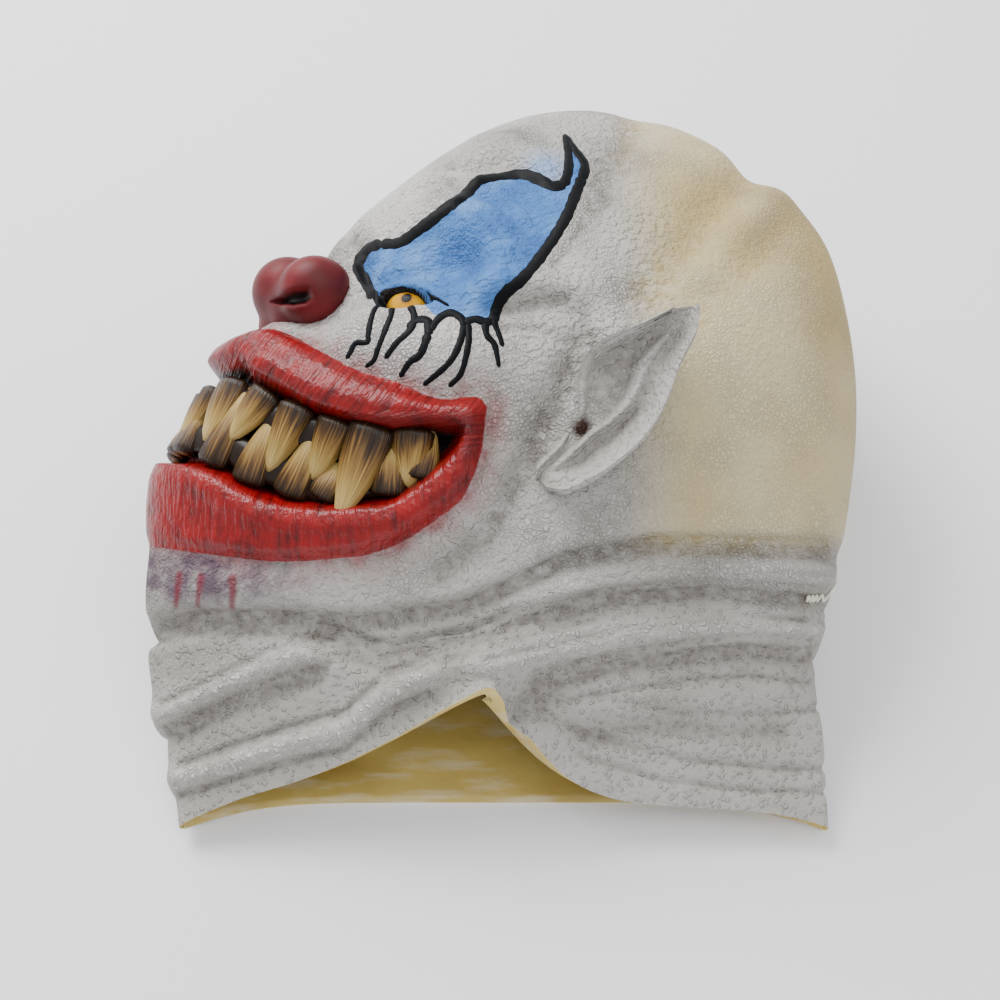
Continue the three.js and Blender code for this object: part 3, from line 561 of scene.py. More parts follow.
class Relief:
    """Everything that is modelled into the skin above the plain form."""

    FOLDS = (
        Fold(-6.5, 5, (0, 250, 84, 270, 186, 270, 302, 263, 434, 282, 507, 309, 571, 337, 684, 356, 797, 354,
            939, 349)),
        Fold(3.5, 7, (520, 292, 600, 322, 700, 334, 820, 330, 920, 325)),
        Fold(-6.5, 5, (247, 251, 340, 229, 452, 253, 533, 276, 627, 296, 760, 305, 874, 296, 930, 290)),
        Fold(4, 8, (470, 225, 560, 243, 660, 262, 780, 268, 900, 262)),
        Fold(-5, 5, (500, 150, 552, 198, 647, 217, 743, 229, 820, 234, 910, 224)),
        Fold(4.5, 7, (264, 240, 186, 222, 126, 194, 31, 152)),
        Fold(-4, 5, (240, 205, 180, 185, 110, 160, 40, 125)),
        Fold(5, 6, (394, 212, 339, 188, 281, 141, 204, 122, 126, 98, 57, 75)),
        Fold(-3, 6, (600, 130, 720, 140, 860, 130)),
        Fold(-5, 7, (598, 605, 566, 542, 545, 508, 526, 461, 498, 421, 467, 370, 411, 334)),
        Fold(8, 11, (382, 765, 427, 768, 465, 747, 479, 714, 473, 680)),
        Fold(3, 6, (497, 665, 545, 675, 600, 668)),
        Fold(-3, 5, (490, 648, 545, 655, 595, 640)),
        Fold(3, 6, (462, 895, 508, 880, 549, 839)),
        Fold(-3, 5, (420, 850, 481, 850, 530, 828)),
        Fold(3, 5, (385, 830, 425, 832, 454, 820)),
        Fold(-4, 5, (275, 760, 290, 735, 300, 690)),
        Fold(-6, 13, (880, 870, 805, 794, 764, 744, 680, 670)),
        Fold(4, 11, (880, 815, 815, 745, 765, 698)),
        Fold(-5, 12, (880, 770, 791, 689, 748, 650)),
        Fold(-4, 11, (690, 930, 646, 859, 625, 810)),
    )
    FINE = (
        Fold(-2.2, 2.6, (470, 793, 501, 770, 522, 748)),
        Fold(-2.2, 2.6, (495, 816, 528, 778, 547, 746)),
        Fold(-1.6, 2.0, (440, 770, 470, 750, 492, 720)),
        Fold(2.2, 2.6, (312, 684, 341, 686, 378, 682, 405, 665)),
        Fold(-2.0, 2.2, (315, 694, 345, 697, 385, 694, 415, 678)),
        Fold(1.4, 2.2, (322, 646, 343, 643, 370, 643, 400, 643)),
        Fold(-1.6, 2.4, (470, 640, 530, 650, 580, 660)),
        Fold(-1.4, 2.2, (490, 620, 535, 622, 570, 606)),
        Fold(1.4, 2.4, (330, 795, 370, 805, 410, 808)),
        Fold(-1.4, 2.2, (350, 812, 390, 818, 420, 818)),
        Fold(-1.5, 2.2, (262, 740, 280, 728, 292, 708)),
        Fold(-1.5, 2.2, (560, 700, 590, 740, 620, 790)),
        *(beside(fold, away) for fold, away in (
            (FOLDS[0], -20), (FOLDS[0], 13), (FOLDS[2], -19), (FOLDS[2], 14), (FOLDS[4], -26), (FOLDS[4], 17),
            (FOLDS[5], 20), (FOLDS[5], -22), (FOLDS[7], 24), (FOLDS[7], -26), (FOLDS[3], 4),
        )),
        Fold(-1.6, 1.8, (560, 150, 640, 120, 740, 100, 860, 88, 990, 84)),
        Fold(-1.4, 1.6, (600, 105, 700, 76, 820, 62, 990, 55)),
        Fold(-1.4, 1.6, (610, 182, 720, 160, 840, 156, 990, 160)),
    )
    SWELLS = (
        Swell(-14, (215, 672), (32, 24)),
        Swell(8, (400, 592), (34, 15), -14),
        Swell(-7, (437, 700), (14, 9)),
        Swell(-6, (335, 668), (12, 9), -20),
        Swell(5, (300, 640), (14, 12), 30),
        Swell(5, (130, 310), (26, 12)),
        Swell(-3, (500, 560), (18, 24)),
    )
    LIP_BULGE, MOUTH_DEPTH, LIP_FADE = 6 * MM, 10 * MM, 9 * MM
    # the roll at the lip's inner edge: height, distance from the mouth and width, and the depth between the lids
    ROLL, ROLL_AT, ROLL_WIDTH, SLIT_DEPTH = 2.2 * MM, 8 * MM, 5 * MM, 7.5 * MM

    def lift(self, spots: np.ndarray, ease: np.ndarray, fine: bool) -> np.ndarray:
        """Adds up the relief.

        Args:
            spots: Places in the slant view, in metres.
            ease: 1 where the skin is free, less where the table presses it flat.
            fine: Whether the small wrinkles are added.

        Returns:
            Height above the plain form in metres.
        """
        h = sum(part.lift(spots) for part in self.FOLDS + self.SWELLS)
        if fine:
            h = h + sum(part.lift(spots) for part in self.FINE)
        h = h * ease
        lips = inside_distance(spots, LIPS)
        mouth = inside_distance(spots, MOUTH)
        front = mix(0.3, 1.0, smooth(spots[:, 0] / (0.16 * SIZES.depth)))
        roll = np.where(mouth > 0, 1.0, smooth((lips + 2 * MM) / self.LIP_FADE))
        h = np.where(lips > -3 * MM, mix(h, h * 0.3, smooth((lips + 3 * MM) / (6 * MM))), h)
        h = h + np.where(lips > -3 * MM, self.LIP_BULGE * front * roll, 0)
        width = 6 * MM if fine else 9 * MM
        h = h - (self.MOUTH_DEPTH + self.LIP_BULGE * front) * smooth((mouth + 3 * MM) / width)
        if fine:
            round_lip = smooth((lips + 1 * MM) / (5 * MM)) * bell((mouth + self.ROLL_AT) / self.ROLL_WIDTH)
            h = h + self.ROLL * front * round_lip
            h = h - self.SLIT_DEPTH * smooth((inside_distance(spots, EYE_SLIT) + 0.4 * MM) / (1.6 * MM))
        return h


RELIEF = Relief()


class Graph:
    """Shader nodes of one material."""

    def __init__(self, name: str) -> None:
        """Starts an empty material.

        Args:
            name: Name of the material.
        """
        self.material = bpy.data.materials.new(name)
        self.material.use_nodes = True
        self.tree = self.material.node_tree
        self.tree.nodes.clear()

    def add(self, kind: str, inputs: dict | None = None, **settings: object) -> bpy.types.Node:
        """Adds one node with its settings and links.

        Args:
            kind: Node type without the ShaderNode prefix.
            inputs: Socket name or number to a value or to the socket that feeds it.
            settings: Properties of the node.

        Returns:
            The node.
        """
        node = self.tree.nodes.new("ShaderNode" + kind)
        for key, value in settings.items():
            setattr(node, key, value)
        for key, value in (inputs or {}).items():
            if isinstance(value, bpy.types.NodeSocket):
                self.tree.links.new(value, node.inputs[key])
            else:
                node.inputs[key].default_value = value
        return node

    def attribute(self, name: str) -> Socket:
        """Reads a value stored on the mesh.

        Args:
            name: Name of the attribute.

        Returns:
            The value's socket.
        """
        return self.add("Attribute", attribute_name=name).outputs["Fac"]

    def noise(self, scale: float, detail: float = 3.0, stretch: tuple = (1, 1, 1),
              where: Socket | None = None) -> Socket:
        """Adds even noise.

        Args:
            scale: Features per metre, or per unit of the coordinates.
            detail: Layers of noise.
            stretch: Scale along each axis.
            where: Coordinates, the object's own unless they are told.

        Returns:
            Noise from 0 to 1.
        """
        if where is None:
            where = self.add("Mapping", {0: self.add("TexCoord").outputs["Object"], "Scale": stretch}).outputs[0]
        return self.add("TexNoise", {"Vector": where, "Scale": scale, "Detail": detail}).outputs[0]

    def ramp(self, value: Socket, *stops: tuple[float, str]) -> Socket:
        """Turns a value into colours.

        Args:
            value: The value.
            stops: Place and sRGB colour of each stop.

        Returns:
            The colour.
        """
        node = self.add("ValToRGB", {0: value})
        elements = node.color_ramp.elements
        while len(elements) < len(stops):
            elements.new(0.5)
        for element, (place, code) in zip(elements, stops):
            element.position, element.color = place, linear(code)
        return node.outputs[0]

    def span(self, value: Socket | str, low: float, high: float, to: float = 1.0) -> Socket:
        """Maps a span of values to 0 and a level.

        Args:
            value: The value, or the name of one that is stored on the mesh.
            low: Where it starts.
            high: Where it ends.
            to: Level at the end.

        Returns:
            The mapped value.
        """
        value = self.attribute(value) if isinstance(value, str) else value
        return self.add("MapRange", {0: value, 1: low, 2: high, 3: 0.0, 4: to}).outputs[0]

    def maths(self, operation: str, a: object, b: object) -> Socket:
        """Joins two numbers.

        Args:
            operation: Name of the operation.
            a: First number or socket.
            b: Second number or socket.

        Returns:
            The result.
        """
        return self.add("Math", {0: a, 1: b}, operation=operation).outputs[0]

    def times(self, a: object, b: object) -> Socket:
        """Multiplies two numbers.

        Args:
            a: First number or socket.
            b: Second number or socket.

        Returns:
            The product.
        """
        return self.maths("MULTIPLY", a, b)

    def blend(self, share: object, below: object, above: object) -> Socket:
        """Lays one colour over another.

        Args:
            share: How much of the upper colour shows.
            below: Lower colour as a socket, sRGB code, or level of grey.
            above: Upper colour in the same forms.

        Returns:
            The blended colour.
        """
        sides = [linear(side) if isinstance(side, str) else side for side in (below, above)]
        sides = [(side, side, side, 1) if isinstance(side, float) else side for side in sides]
        return self.add("MixRGB", {0: share, 1: sides[0], 2: sides[1]}).outputs[0]

    def layers(self, colour: Socket, *coats: tuple[object, object]) -> Socket:
        """Lays coats of colour over each other.

        Args:
            colour: Lowest colour.
            coats: Cover and colour of each coat, from the lowest up.

        Returns:
            The colour that shows.
        """
        for share, above in coats:
            colour = self.blend(share, colour, above)
        return colour

    def bump(self, height: Socket, strength: float, distance: float) -> Socket:
        """Turns heights into a bent surface direction.

        Args:
            height: Heights from 0 to 1.
            strength: How much of the bump counts.
            distance: Height of the bump in metres.

        Returns:
            The direction.
        """
        return self.add("Bump", {"Strength": strength, "Distance": distance, "Height": height}).outputs[0]

    def surface(self, inputs: dict) -> bpy.types.Material:
        """Ends the material with a surface shader.

        Args:
            inputs: Values and sockets of the surface shader.

        Returns:
            The finished material.
        """
        shader = self.add("BsdfPrincipled", inputs)
        self.add("OutputMaterial", {"Surface": shader.outputs[0]})
        return self.material


@dataclass(frozen=True)
class PaintedLatex:
    """Cast latex, sprayed and brushed with acrylic: matt and pebbled, with shade painted into the folds and
    grooves and highlight painted onto the neck's ridges.
    """

    coat: float = 0.0
    made_up: bool = True
    name: str = "cast_latex_sprayed_matt"
    # pebbles, raised dots and the bends of their pattern per metre, how far it bends, and the bump's height
    pebbles: float = 520.0
    dots: float = 360.0
    bends: float = 190.0
    bend: float = 0.0034
    height: float = 0.0021

    @staticmethod
    def ground(g: Graph, grooves: Socket, dots: Socket) -> Socket:
        """Lays the sprayed ground, the cream back, the painted shade in the folds and grooves, and the white paint
        and painted highlight on the neck's ridges.

        Args:
            g: Graph of the material.
            grooves: 1 in the grooves between the pebbles.
            dots: 1 on the small raised dots.

        Returns:
            The colour.
        """
        # off-white ground, paler on the face, greyer on the neck and warm cream at the bare back of the head
        white = g.ramp(g.noise(16, 3), (0.32, "9C9992"), (0.5, "B0ADA7"), (0.7, "C2BFBA"))
        cream = g.ramp(g.noise(9, 3), (0.35, "B39F6A"), (0.5, "C4B48A"), (0.68, "CBBF9D"))
        # brown-grey painted shade in the folds and grooves, warmer on the cream back
        fold_shade = g.times(g.attribute("hollow"), g.span(g.noise(190, 4), 0.3, 0.62, 0.8))
        fold_shade_colour = g.blend(g.span("cream", 0, 0.6), "77716A", "B09A66")
        # white paint brushed thinly onto the high spots, which is also painted highlight on the neck's raised
        # ridges
        dry_paint_and_highlight_spots = g.blend(0.55, g.span(g.noise(260, 4), 0.35, 0.7), dots)
        ridge_highlight_and_dry_paint = g.times(g.attribute("ridge"), g.span(dry_paint_and_highlight_spots, 0.15, 0.9, 0.8))
        # the grooves between the pebbles are darkened as painted shade
        return g.layers(
            white, (g.span("pale", 0, 1, 0.6), "CFCDC9"), (g.span("neck", 0, 1, 0.5), "98948C"),
            (g.attribute("cream"), cream), (fold_shade, fold_shade_colour), (g.times(grooves, 0.4), "77726A"), (ridge_highlight_and_dry_paint, "DCDAD5"),
        )

    @staticmethod
    def creases(g: Graph) -> Socket:
        """Makes the fine creases that cross the lips.

        Args:
            g: Graph of the material.

        Returns:
            The height of the creases.
        """
        where = g.add("CombineXYZ", {0: g.attribute("across"), 1: g.attribute("down")}).outputs[0]
        return g.noise(0.42, where=where)

    def make_up(self, g: Graph, colour: Socket) -> tuple[Socket, Socket]:
        """Lays the painted face over the ground.

        Args:
            g: Graph of the material.
            colour: Colour of the ground.

        Returns:
            The colour, and 1 where the glossy lips are.
        """
        wobble = g.times(g.maths("SUBTRACT", g.noise(300, 2), 0.5), 0.8)

        def edge(name: str, soft: float = 0.2) -> Socket:
            """Gives 1 inside a painted outline that wobbles a little.

            Args:
                name: Stored distance inside the outline, in millimetres.
                soft: Half width of the edge.

            Returns:
                The cover of the paint.
            """
            return g.span(g.maths("ADD", g.attribute(name), wobble), -soft, soft)

        mist = g.times(g.span("lip_mm", -13, 0.5), g.span(g.noise(90, 4), 0.3, 0.7, 0.8))
        shade = g.times(g.attribute("chin"), g.span(g.noise(120, 4), 0.2, 0.6, 0.95))
        blue = g.ramp(g.noise(42, 4), (0.3, "335E9A"), (0.5, "4474B2"), (0.7, "6A93C8"))
        # painted shade in the lips' creases, mixed with random tone
        crease_shade_and_tone = g.blend(0.5, self.creases(g), g.noise(120, 4))
        red = g.ramp(crease_shade_and_tone, (0.34, "4A0305"), (0.46, "740507"), (0.62, "8C0709"))
        lips = edge("lip_mm", 0.35)
        return g.layers(
            colour,
            # red overspray round the lips and the purple-grey shade under the lower lip
            (mist, "94303C"), (shade, "54424F"),
            # red runs on the chin, and blue that spilled beside the patch
            (g.span("run_mm", -1.2, 0.6, 0.75), "701829"), (g.span("spill", 0, 1, 0.75), "7FA6D8"),
            # brushed blue eye patch, and wet-looking red lips, darker at random and with painted shade in their
            # creases
            (edge("blue_mm"), blue), (lips, red),
            # near-black in the mouth, and painted shadow between the lids and in the inner corner of the eye
            (g.span("mouth_mm", 0.2, 3.0), "0E0807"), (g.span("slit_mm", 0.5, 1.1), "120D0A"),
            (g.span("duct_mm", -0.2, 0.6), "0B0908"),
        ), lips

    def build(self) -> bpy.types.Material:
        """Builds the painted skin.

        Returns:
            The material.
        """
        g = Graph(self.name)
        where = g.add("TexCoord").outputs["Object"]
        drift = g.add("TexNoise", {"Vector": where, "Scale": self.bends, "Detail": 0.0}).outputs[1]
        bend = g.add("VectorMath", {0: drift, "Scale": self.bend}, operation="SCALE").outputs[0]
        bent = g.add("VectorMath", {0: where, 1: bend}, operation="ADD").outputs[0]
        cells = g.add("TexVoronoi", {"Vector": bent, "Scale": self.pebbles}, feature="DISTANCE_TO_EDGE").outputs[0]
        dots = g.span(g.add("TexVoronoi", {"Vector": bent, "Scale": self.dots}).outputs[0], 0.42, 0.2)
        patchy = g.span(g.noise(28, 1), 0.35, 0.65)
        grooves = g.times(g.span(cells, 0.24, 0.04), g.span(patchy, 0, 1, 0.9))
        colour = self.ground(g, grooves, dots)
        # pebbles in patches, smoother at the bare back, and long fine creases on the neck
        fine = g.noise(420, 3, (0.5, 1, 1))
        creases = g.blend(0.45, g.noise(170, 3, (0.16, 1, 1)), dots)
        height = g.layers(
            g.span(g.noise(330, 2), 0.4, 0.62), (g.span(patchy, 0, 1, 0.7), g.span(cells, 0.0, 0.3)),
            (0.4, fine), (g.span("cream", 0, 1, 0.65), 0.5), (g.span("neck", 0, 1, 0.75), creases),
        )
        if self.made_up:
            colour, lips = self.make_up(g, colour)
            ripples = g.blend(0.35, self.creases(g), g.noise(330, 2))
            height = g.layers(height, (g.span("blue_mm", -0.5, 1, 0.55), fine), (lips, ripples))
            rough = g.blend(lips, 0.7, 0.4)
        else:
            rough = g.maths("ADD", g.span(grooves, 0, 1, 0.1), 0.62)
        # painted shade in the ear hole
        colour = g.blend(g.span("pit", 0.3, 0.75), colour, "2A1208")
        normal = g.bump(height, 1.0, self.height)
        return g.surface({
            "Base Color": colour, "Roughness": rough, "Normal": normal, "IOR": 1.5, "Coat Weight": self.coat,
            "Coat Roughness": 0.1, "Coat Normal": normal, "Specular IOR Level": 0.25,
        })


@dataclass(frozen=True)
class RawLatex:
    """Unpainted latex on the inside of the casting: tan, waxy, with chalky release streaks."""

    name: str = "raw_cast_latex"

    def build(self) -> bpy.types.Material:
        """Builds the bare inside.

        Returns:
            The material.
        """
        g = Graph(self.name)
        tan = g.ramp(g.noise(30, 4, (0.5, 1, 1)), (0.3, "AD9148"), (0.5, "C6AC5C"), (0.7, "D6BF75"))
        chalk = g.span(g.noise(170, 4, (0.2, 1, 1)), 0.5, 0.68, 0.5)
        return g.surface({
            "Base Color": g.blend(chalk, tan, "DDD6BE"), "Roughness": 0.5, "IOR": 1.5,
            "Normal": g.bump(g.noise(160, 3), 0.4, 0.001),
            "Subsurface Weight": 0.15, "Subsurface Radius": (0.004, 0.002, 0.001),
        })


@dataclass(frozen=True)
class StainedTooth:
    """Cast resin teeth, stained dark at the root by hand and varnished, so that they shine."""

    name: str = "cast_resin_stained"

    def build(self) -> bpy.types.Material:
        """Builds the tooth stain.

        Returns:
            The material.
        """
        g = Graph(self.name)
        along = g.attribute("along")
        where = g.add("CombineXYZ", {0: g.attribute("streak"), 1: along}).outputs[0]
        grain = g.noise(1.6, 5.0, where=where)
        mottled = g.maths("ADD", along, g.times(g.maths("SUBTRACT", grain, 0.52), 1.1))
        colour = g.ramp(mottled, (0.02, "1E1208"), (0.2, "452E14"), (0.4, "7A5B2C"), (0.62, "9C8043"),
                        (0.92, "B79E62"))
        normal = g.bump(grain, 0.8, 0.0008)
        return g.surface({
            "Base Color": colour, "Roughness": 0.36, "Normal": normal, "IOR": 1.52, "Specular IOR Level": 0.2,
            "Coat Weight": 0.15, "Coat Roughness": 0.1, "Coat Normal": normal,
        })


@dataclass(frozen=True)
class PlainFinish:
    """A finish of one colour with a light mottle."""

    name: str
    low: str
    high: str
    roughness: float
    grain: float
    depth: float

    def build(self) -> bpy.types.Material:
        """Builds the finish.

        Returns:
            The material.
        """
        g = Graph(self.name)
        return g.surface({
            "Base Color": g.ramp(g.noise(self.grain / 6), (0.35, self.low), (0.65, self.high)),
            "Roughness": self.roughness, "IOR": 1.5, "Coat Weight": 0.0, "Coat Roughness": 0.1,
            "Normal": g.bump(g.noise(self.grain, 4), 0.4, self.depth),
        })


@dataclass(frozen=True)
class NosePaint:
    """Dark red acrylic over smooth latex, half shiny, with painted shade that is nearly black inside the nostril.
    """

    name: str = "cast_latex_satin_maroon"

    def build(self) -> bpy.types.Material:
        """Builds the nose paint.

        Returns:
            The material.
        """
        g = Graph(self.name)
        maroon = g.ramp(g.noise(60, 4), (0.3, "4E0E12"), (0.5, "611418"), (0.7, "701B1F"))
        # painted shade: nearly black where the nostril sinks in
        return g.surface({
            "Base Color": g.blend(g.span("deep", 0.25, 0.85), maroon, "0C0405"), "Roughness": 0.5,
            "Normal": g.bump(g.noise(380, 4), 0.35, 0.0003), "IOR": 1.5, "Specular IOR Level": 0.3,
        })


@dataclass(frozen=True)
class InkPaint:
    """Thick black brush paint that dried slightly shiny."""

    name: str = "acrylic_ink_black"

    def build(self) -> bpy.types.Material:
        """Builds the ink.

        Returns:
            The material.
        """
        g = Graph(self.name)
        return g.surface({
            "Base Color": linear("07080B"), "Roughness": 0.55, "IOR": 1.45, "Specular IOR Level": 0.15,
            "Normal": g.bump(g.noise(480, 4), 0.6, 0.0004),
        })


@dataclass(frozen=True)
class GlassEye:
    """Moulded gloss dome: yellow with darker rays round a black pupil."""

    name: str = "moulded_gloss_eye"

    def build(self) -> bpy.types.Material:
        """Builds the eye.

        Returns:
            The material.
        """
        g = Graph(self.name)
        ring = g.attribute("ring")
        rays = g.maths("ADD", ring, g.times(g.attribute("ray"), 0.6))
        yellow = g.ramp(g.maths("DIVIDE", rays, 12.0), (0.16, "7A4A08"), (0.28, "C58A10"), (0.5, "CF9A1E"),
                        (0.8, "8A5E12"))
        return g.surface({"Base Color": g.blend(g.span(ring, 2.1, 2.4), "050505", yellow), "Roughness": 0.3,
                          "IOR": 1.45, "Specular IOR Level": 0.12})


@dataclass
class Shape:
    """A mesh in the making: corners, faces, stored values and the material of each face."""

    corners: list[np.ndarray] = field(default_factory=list)
    faces: list[np.ndarray] = field(default_factory=list)
    values: dict[str, list[np.ndarray]] = field(default_factory=dict)
    slots: list[np.ndarray] = field(default_factory=list)
    count: int = 0

    def grid(self, points: np.ndarray, closed: bool = False, flip: bool = False, slot: np.ndarray | int = 0,
             caps: tuple[bool, bool] = (False, False), **values: np.ndarray) -> None:
        """Adds a sheet of quads.

        Args:
            points: Rows and columns of points.
            closed: Whether the last column joins the first.
            flip: Whether the faces look the other way.
            slot: Material number, or one per quad.
            caps: Whether the first and last row are closed with a fan.
            values: Stored values, one per point.
        """
        rows, columns = points.shape[:2]
        number = np.arange(rows * columns).reshape(rows, columns) + self.count
        right = np.roll(number, -1, 1) if closed else number[:, 1:]
        left = number if closed else number[:, :-1]
        quads = np.stack([left[:-1], right[:-1], right[1:], left[1:]], -1).reshape(-1, 4)
        flat = points.reshape(-1, 3)
        extra = []
        for end, wanted in enumerate(caps):
            if wanted:
                ring = number[-1 if end else 0]
                centre = rows * columns + len(extra) + self.count
                extra.append(points[-1 if end else 0].mean(0))
                after = np.roll(ring, -1)
                near, far = (ring, after) if end else (after, ring)
                quads_fan = np.stack([near, far, np.full_like(ring, centre), near], -1)
                self.faces.append(quads_fan[:, ::-1] if flip else quads_fan)
                self.slots.append(np.full(len(ring), slot if np.isscalar(slot) else 0))
        self.faces.append(quads[:, ::-1] if flip else quads)
        self.slots.append(np.full(len(quads), slot) if np.isscalar(slot) else np.asarray(slot).ravel())
        if extra:
            flat = np.vstack([flat, extra])
        self.corners.append(flat)
        for key in set(self.values) | set(values):
            told = np.asarray(values[key]).ravel() if key in values else np.zeros(rows * columns)
            told = np.concatenate([told, np.full(len(extra), told[-1])])
            self.values.setdefault(key, [np.zeros(self.count)] if self.count else []).append(told)
        self.count += len(flat)

    def tube(self, centres: np.ndarray, out: np.ndarray, wide: np.ndarray, thick: np.ndarray,
             **values: np.ndarray) -> None:
        """Adds an oval tube.

        Args:
            centres: Centre line.
            out: Outward direction at each step.
            wide: Half width at each step.
            thick: Half thickness at each step.
            values: Stored values by name.
        """
        run = unit(np.gradient(centres, axis=0))
        side = unit(np.cross(run, out))
        lift = np.cross(side, run)
        angle = np.linspace(0, FULL_TURN, wide.shape[1], endpoint=False)
        ring = centres[:, None] + side[:, None] * (wide * np.cos(angle))[..., None]
        ring = ring + lift[:, None] * (thick * np.sin(angle))[..., None]
        self.grid(raised(ring, FLOOR_GAP), closed=True, flip=True, caps=(True, True), **values)

    def piece(self, name: str, materials: list[bpy.types.Material], node: str) -> bpy.types.Object:
        """Turns the shape into a visible piece.

        Args:
            name: Name of the piece.
            materials: Materials by number.
            node: CAD node that the piece stands for.

        Returns:
            The object.
        """
        mesh = bpy.data.meshes.new(name)
        corners = np.vstack(self.corners)
        faces = np.vstack(self.faces)
        polygons = [list(dict.fromkeys(face)) for face in faces.tolist()]
        mesh.from_pydata(corners.tolist(), [], polygons)
        mesh.polygons.foreach_set("use_smooth", np.ones(len(polygons), bool))
        mesh.polygons.foreach_set("material_index", np.concatenate(self.slots).astype(np.int32))
        for key, told in self.values.items():
            store = mesh.attributes.new(key, "FLOAT", "POINT")
            store.data.foreach_set("value", np.concatenate(told).astype(np.float32))
        for material in materials:
            mesh.materials.append(material)
        mesh.update()
        made = bpy.data.objects.new(name, mesh)
        bpy.context.scene.collection.objects.link(made)
        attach(made, "root")
        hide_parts(node)
        LOG.info("%s: %d corners, %d faces", name, len(corners), len(polygons))
        return made


@dataclass
class LatexHead:
    """The painted latex casting without its ears, with its bare inside."""

    columns: int = 190
    under_step: int = 3
    inner_step: int = 5
    # share of the columns on the face and the angle that they reach
    face_share: float = 0.76
    face_angle: float = math.radians(92)
    # rings of the neck, the face and the crown, and the ring shares where each part ends
    rows: tuple[int, int, int] = (56, 190, 60)
    ends: tuple[float, float, float] = (0.19, 0.62, 0.9995)
    # rounds that soften the relief before the painted shade in the folds is measured against it
    soften: int = 14
    # how much of the relief is left where the table presses it, and the height of the room for the pressed ear
    pressed: ClassVar[float] = 0.3
    ear_dent: ClassVar[float] = 4.4 * MM

    def turns(self) -> tuple[np.ndarray, np.ndarray]:
        """Spreads the columns, closer together on the face.

        Returns:
            Angle of each column, and the upper column that it mirrors.
        """
        face = int(self.columns * self.face_share)
        upper = np.concatenate([
            np.linspace(0, self.face_angle, face, endpoint=False),
            np.linspace(self.face_angle, math.pi, self.columns - face),
        ])
        number = np.arange(self.columns)
        under = number[1:-1][:: self.under_step][::-1]
        return np.concatenate([upper, -upper[under]]), np.concatenate([number, under])

    def shares(self) -> np.ndarray:
        """Spreads the rings from the neck edge to the crown.

        Returns:
            Ring shares.
        """
        starts = (0, *self.ends)
        parts = [np.linspace(start, end, rings, endpoint=end == self.ends[-1])
                 for start, end, rings in zip(starts, self.ends, self.rows)]
        return np.concatenate(parts)

    @classmethod
    def surface(cls, turn: np.ndarray, share: np.ndarray, fine: bool) -> tuple[np.ndarray, np.ndarray]:
        """Places skin points.

        Args:
            turn: Angles, below zero on the underside.
            share: Ring shares.
            fine: Whether the small wrinkles are added.

        Returns:
            Points, and the relief in metres.
        """
        spots = FORM.slant_view(FORM.plain(np.abs(turn), share)).reshape(-1, 2)
        ease = mix(1.0, cls.pressed, smooth(-np.sin(turn) / 0.7))
        lift = RELIEF.lift(spots, ease.ravel(), fine).reshape(turn.shape)
        lift = lift * smooth((1 - share) / 0.12)
        points = FORM.plain(turn, share) + FORM.outward(turn, share) * lift[..., None]
        dent = smooth((inside_distance(spots, EAR_OUTLINE) / MM + 14) / 8).reshape(turn.shape)
        return raised(points, np.where(np.sin(turn) < 0, cls.ear_dent * dent, 0)), lift

    @classmethod
    def under_spots(cls, spots: np.ndarray, side: int = 1, fine: bool = True) -> tuple[np.ndarray, np.ndarray]:
        """Finds the skin that shows at spots of the slant view.

        Args:
            spots: Places in the slant view, in metres.
            side: 1 for the upper half of the face, -1 for the half on the table.
            fine: Whether the small wrinkles count.

        Returns:
            Skin points and their outward directions.
        """
        guess = spots.copy()
        for _ in range(3):
            turn, share = FORM.locate(guess).T
            points, _ = cls.surface(turn[None], share[None], fine)
            guess = guess + spots - FORM.slant_view(points[0])
        turn, share = FORM.locate(guess).T
        points, _ = cls.surface(side * turn[None], share[None], fine)
        return points[0], FORM.outward(side * turn, share)

    def paint(self, points: np.ndarray, lift: np.ndarray, mirror: np.ndarray) -> dict[str, np.ndarray]:
        """Measures the painted areas on the skin.

        Args:
            points: Skin points by ring and column.
            lift: Relief of the points.
            mirror: Upper column that each column mirrors.

        Returns:
            Stored values by name.
        """
        upper = points[:, : self.columns]
        spots = FORM.slant_view(upper).reshape(-1, 2)
        shape = upper.shape[:2]
        depth, rise = (spots / (SIZES.depth, SIZES.length)).T
        told = {
            "lip_mm": inside_distance(spots, LIPS) / MM,
            "mouth_mm": inside_distance(spots, MOUTH) / MM,
            "blue_mm": inside_distance(spots, BLUE_PATCH) / MM,
            "run_mm": np.max([stroke.cover(spots) for stroke in RED_RUNS], 0),
            # painted shadow between the lids
            "slit_mm": inside_distance(spots, EYE_SLIT) / MM,
            "across": (spots[:, 0] - 0.7 * smooth((rise - 0.47) / 0.05) * spots[:, 1]) / MM,
            "down": spots[:, 1] * 0.16 / MM,
            # painted shadow in the inner corner of the eye
            "duct_mm": 2.4 - away_mm(spots, 327, 661),
            # painted shade in the ear hole
            "pit": bell(away_mm(spots, 593, 500) / 5.4),
            "spill": bell(away_mm(spots, 552, 838) / 9),
            "cream": smooth((depth - 0.63) / 0.12) * smooth((rise - 0.34) / 0.05),
            "neck": smooth((0.38 - rise) / 0.12),
            "pale": smooth((0.50 - depth) / 0.14) * smooth((rise - 0.36) / 0.1),
            "chin": smooth((rise - 0.27) / 0.04) * smooth((0.37 - rise) / 0.03) * smooth((0.30 - depth) / 0.2),
        }
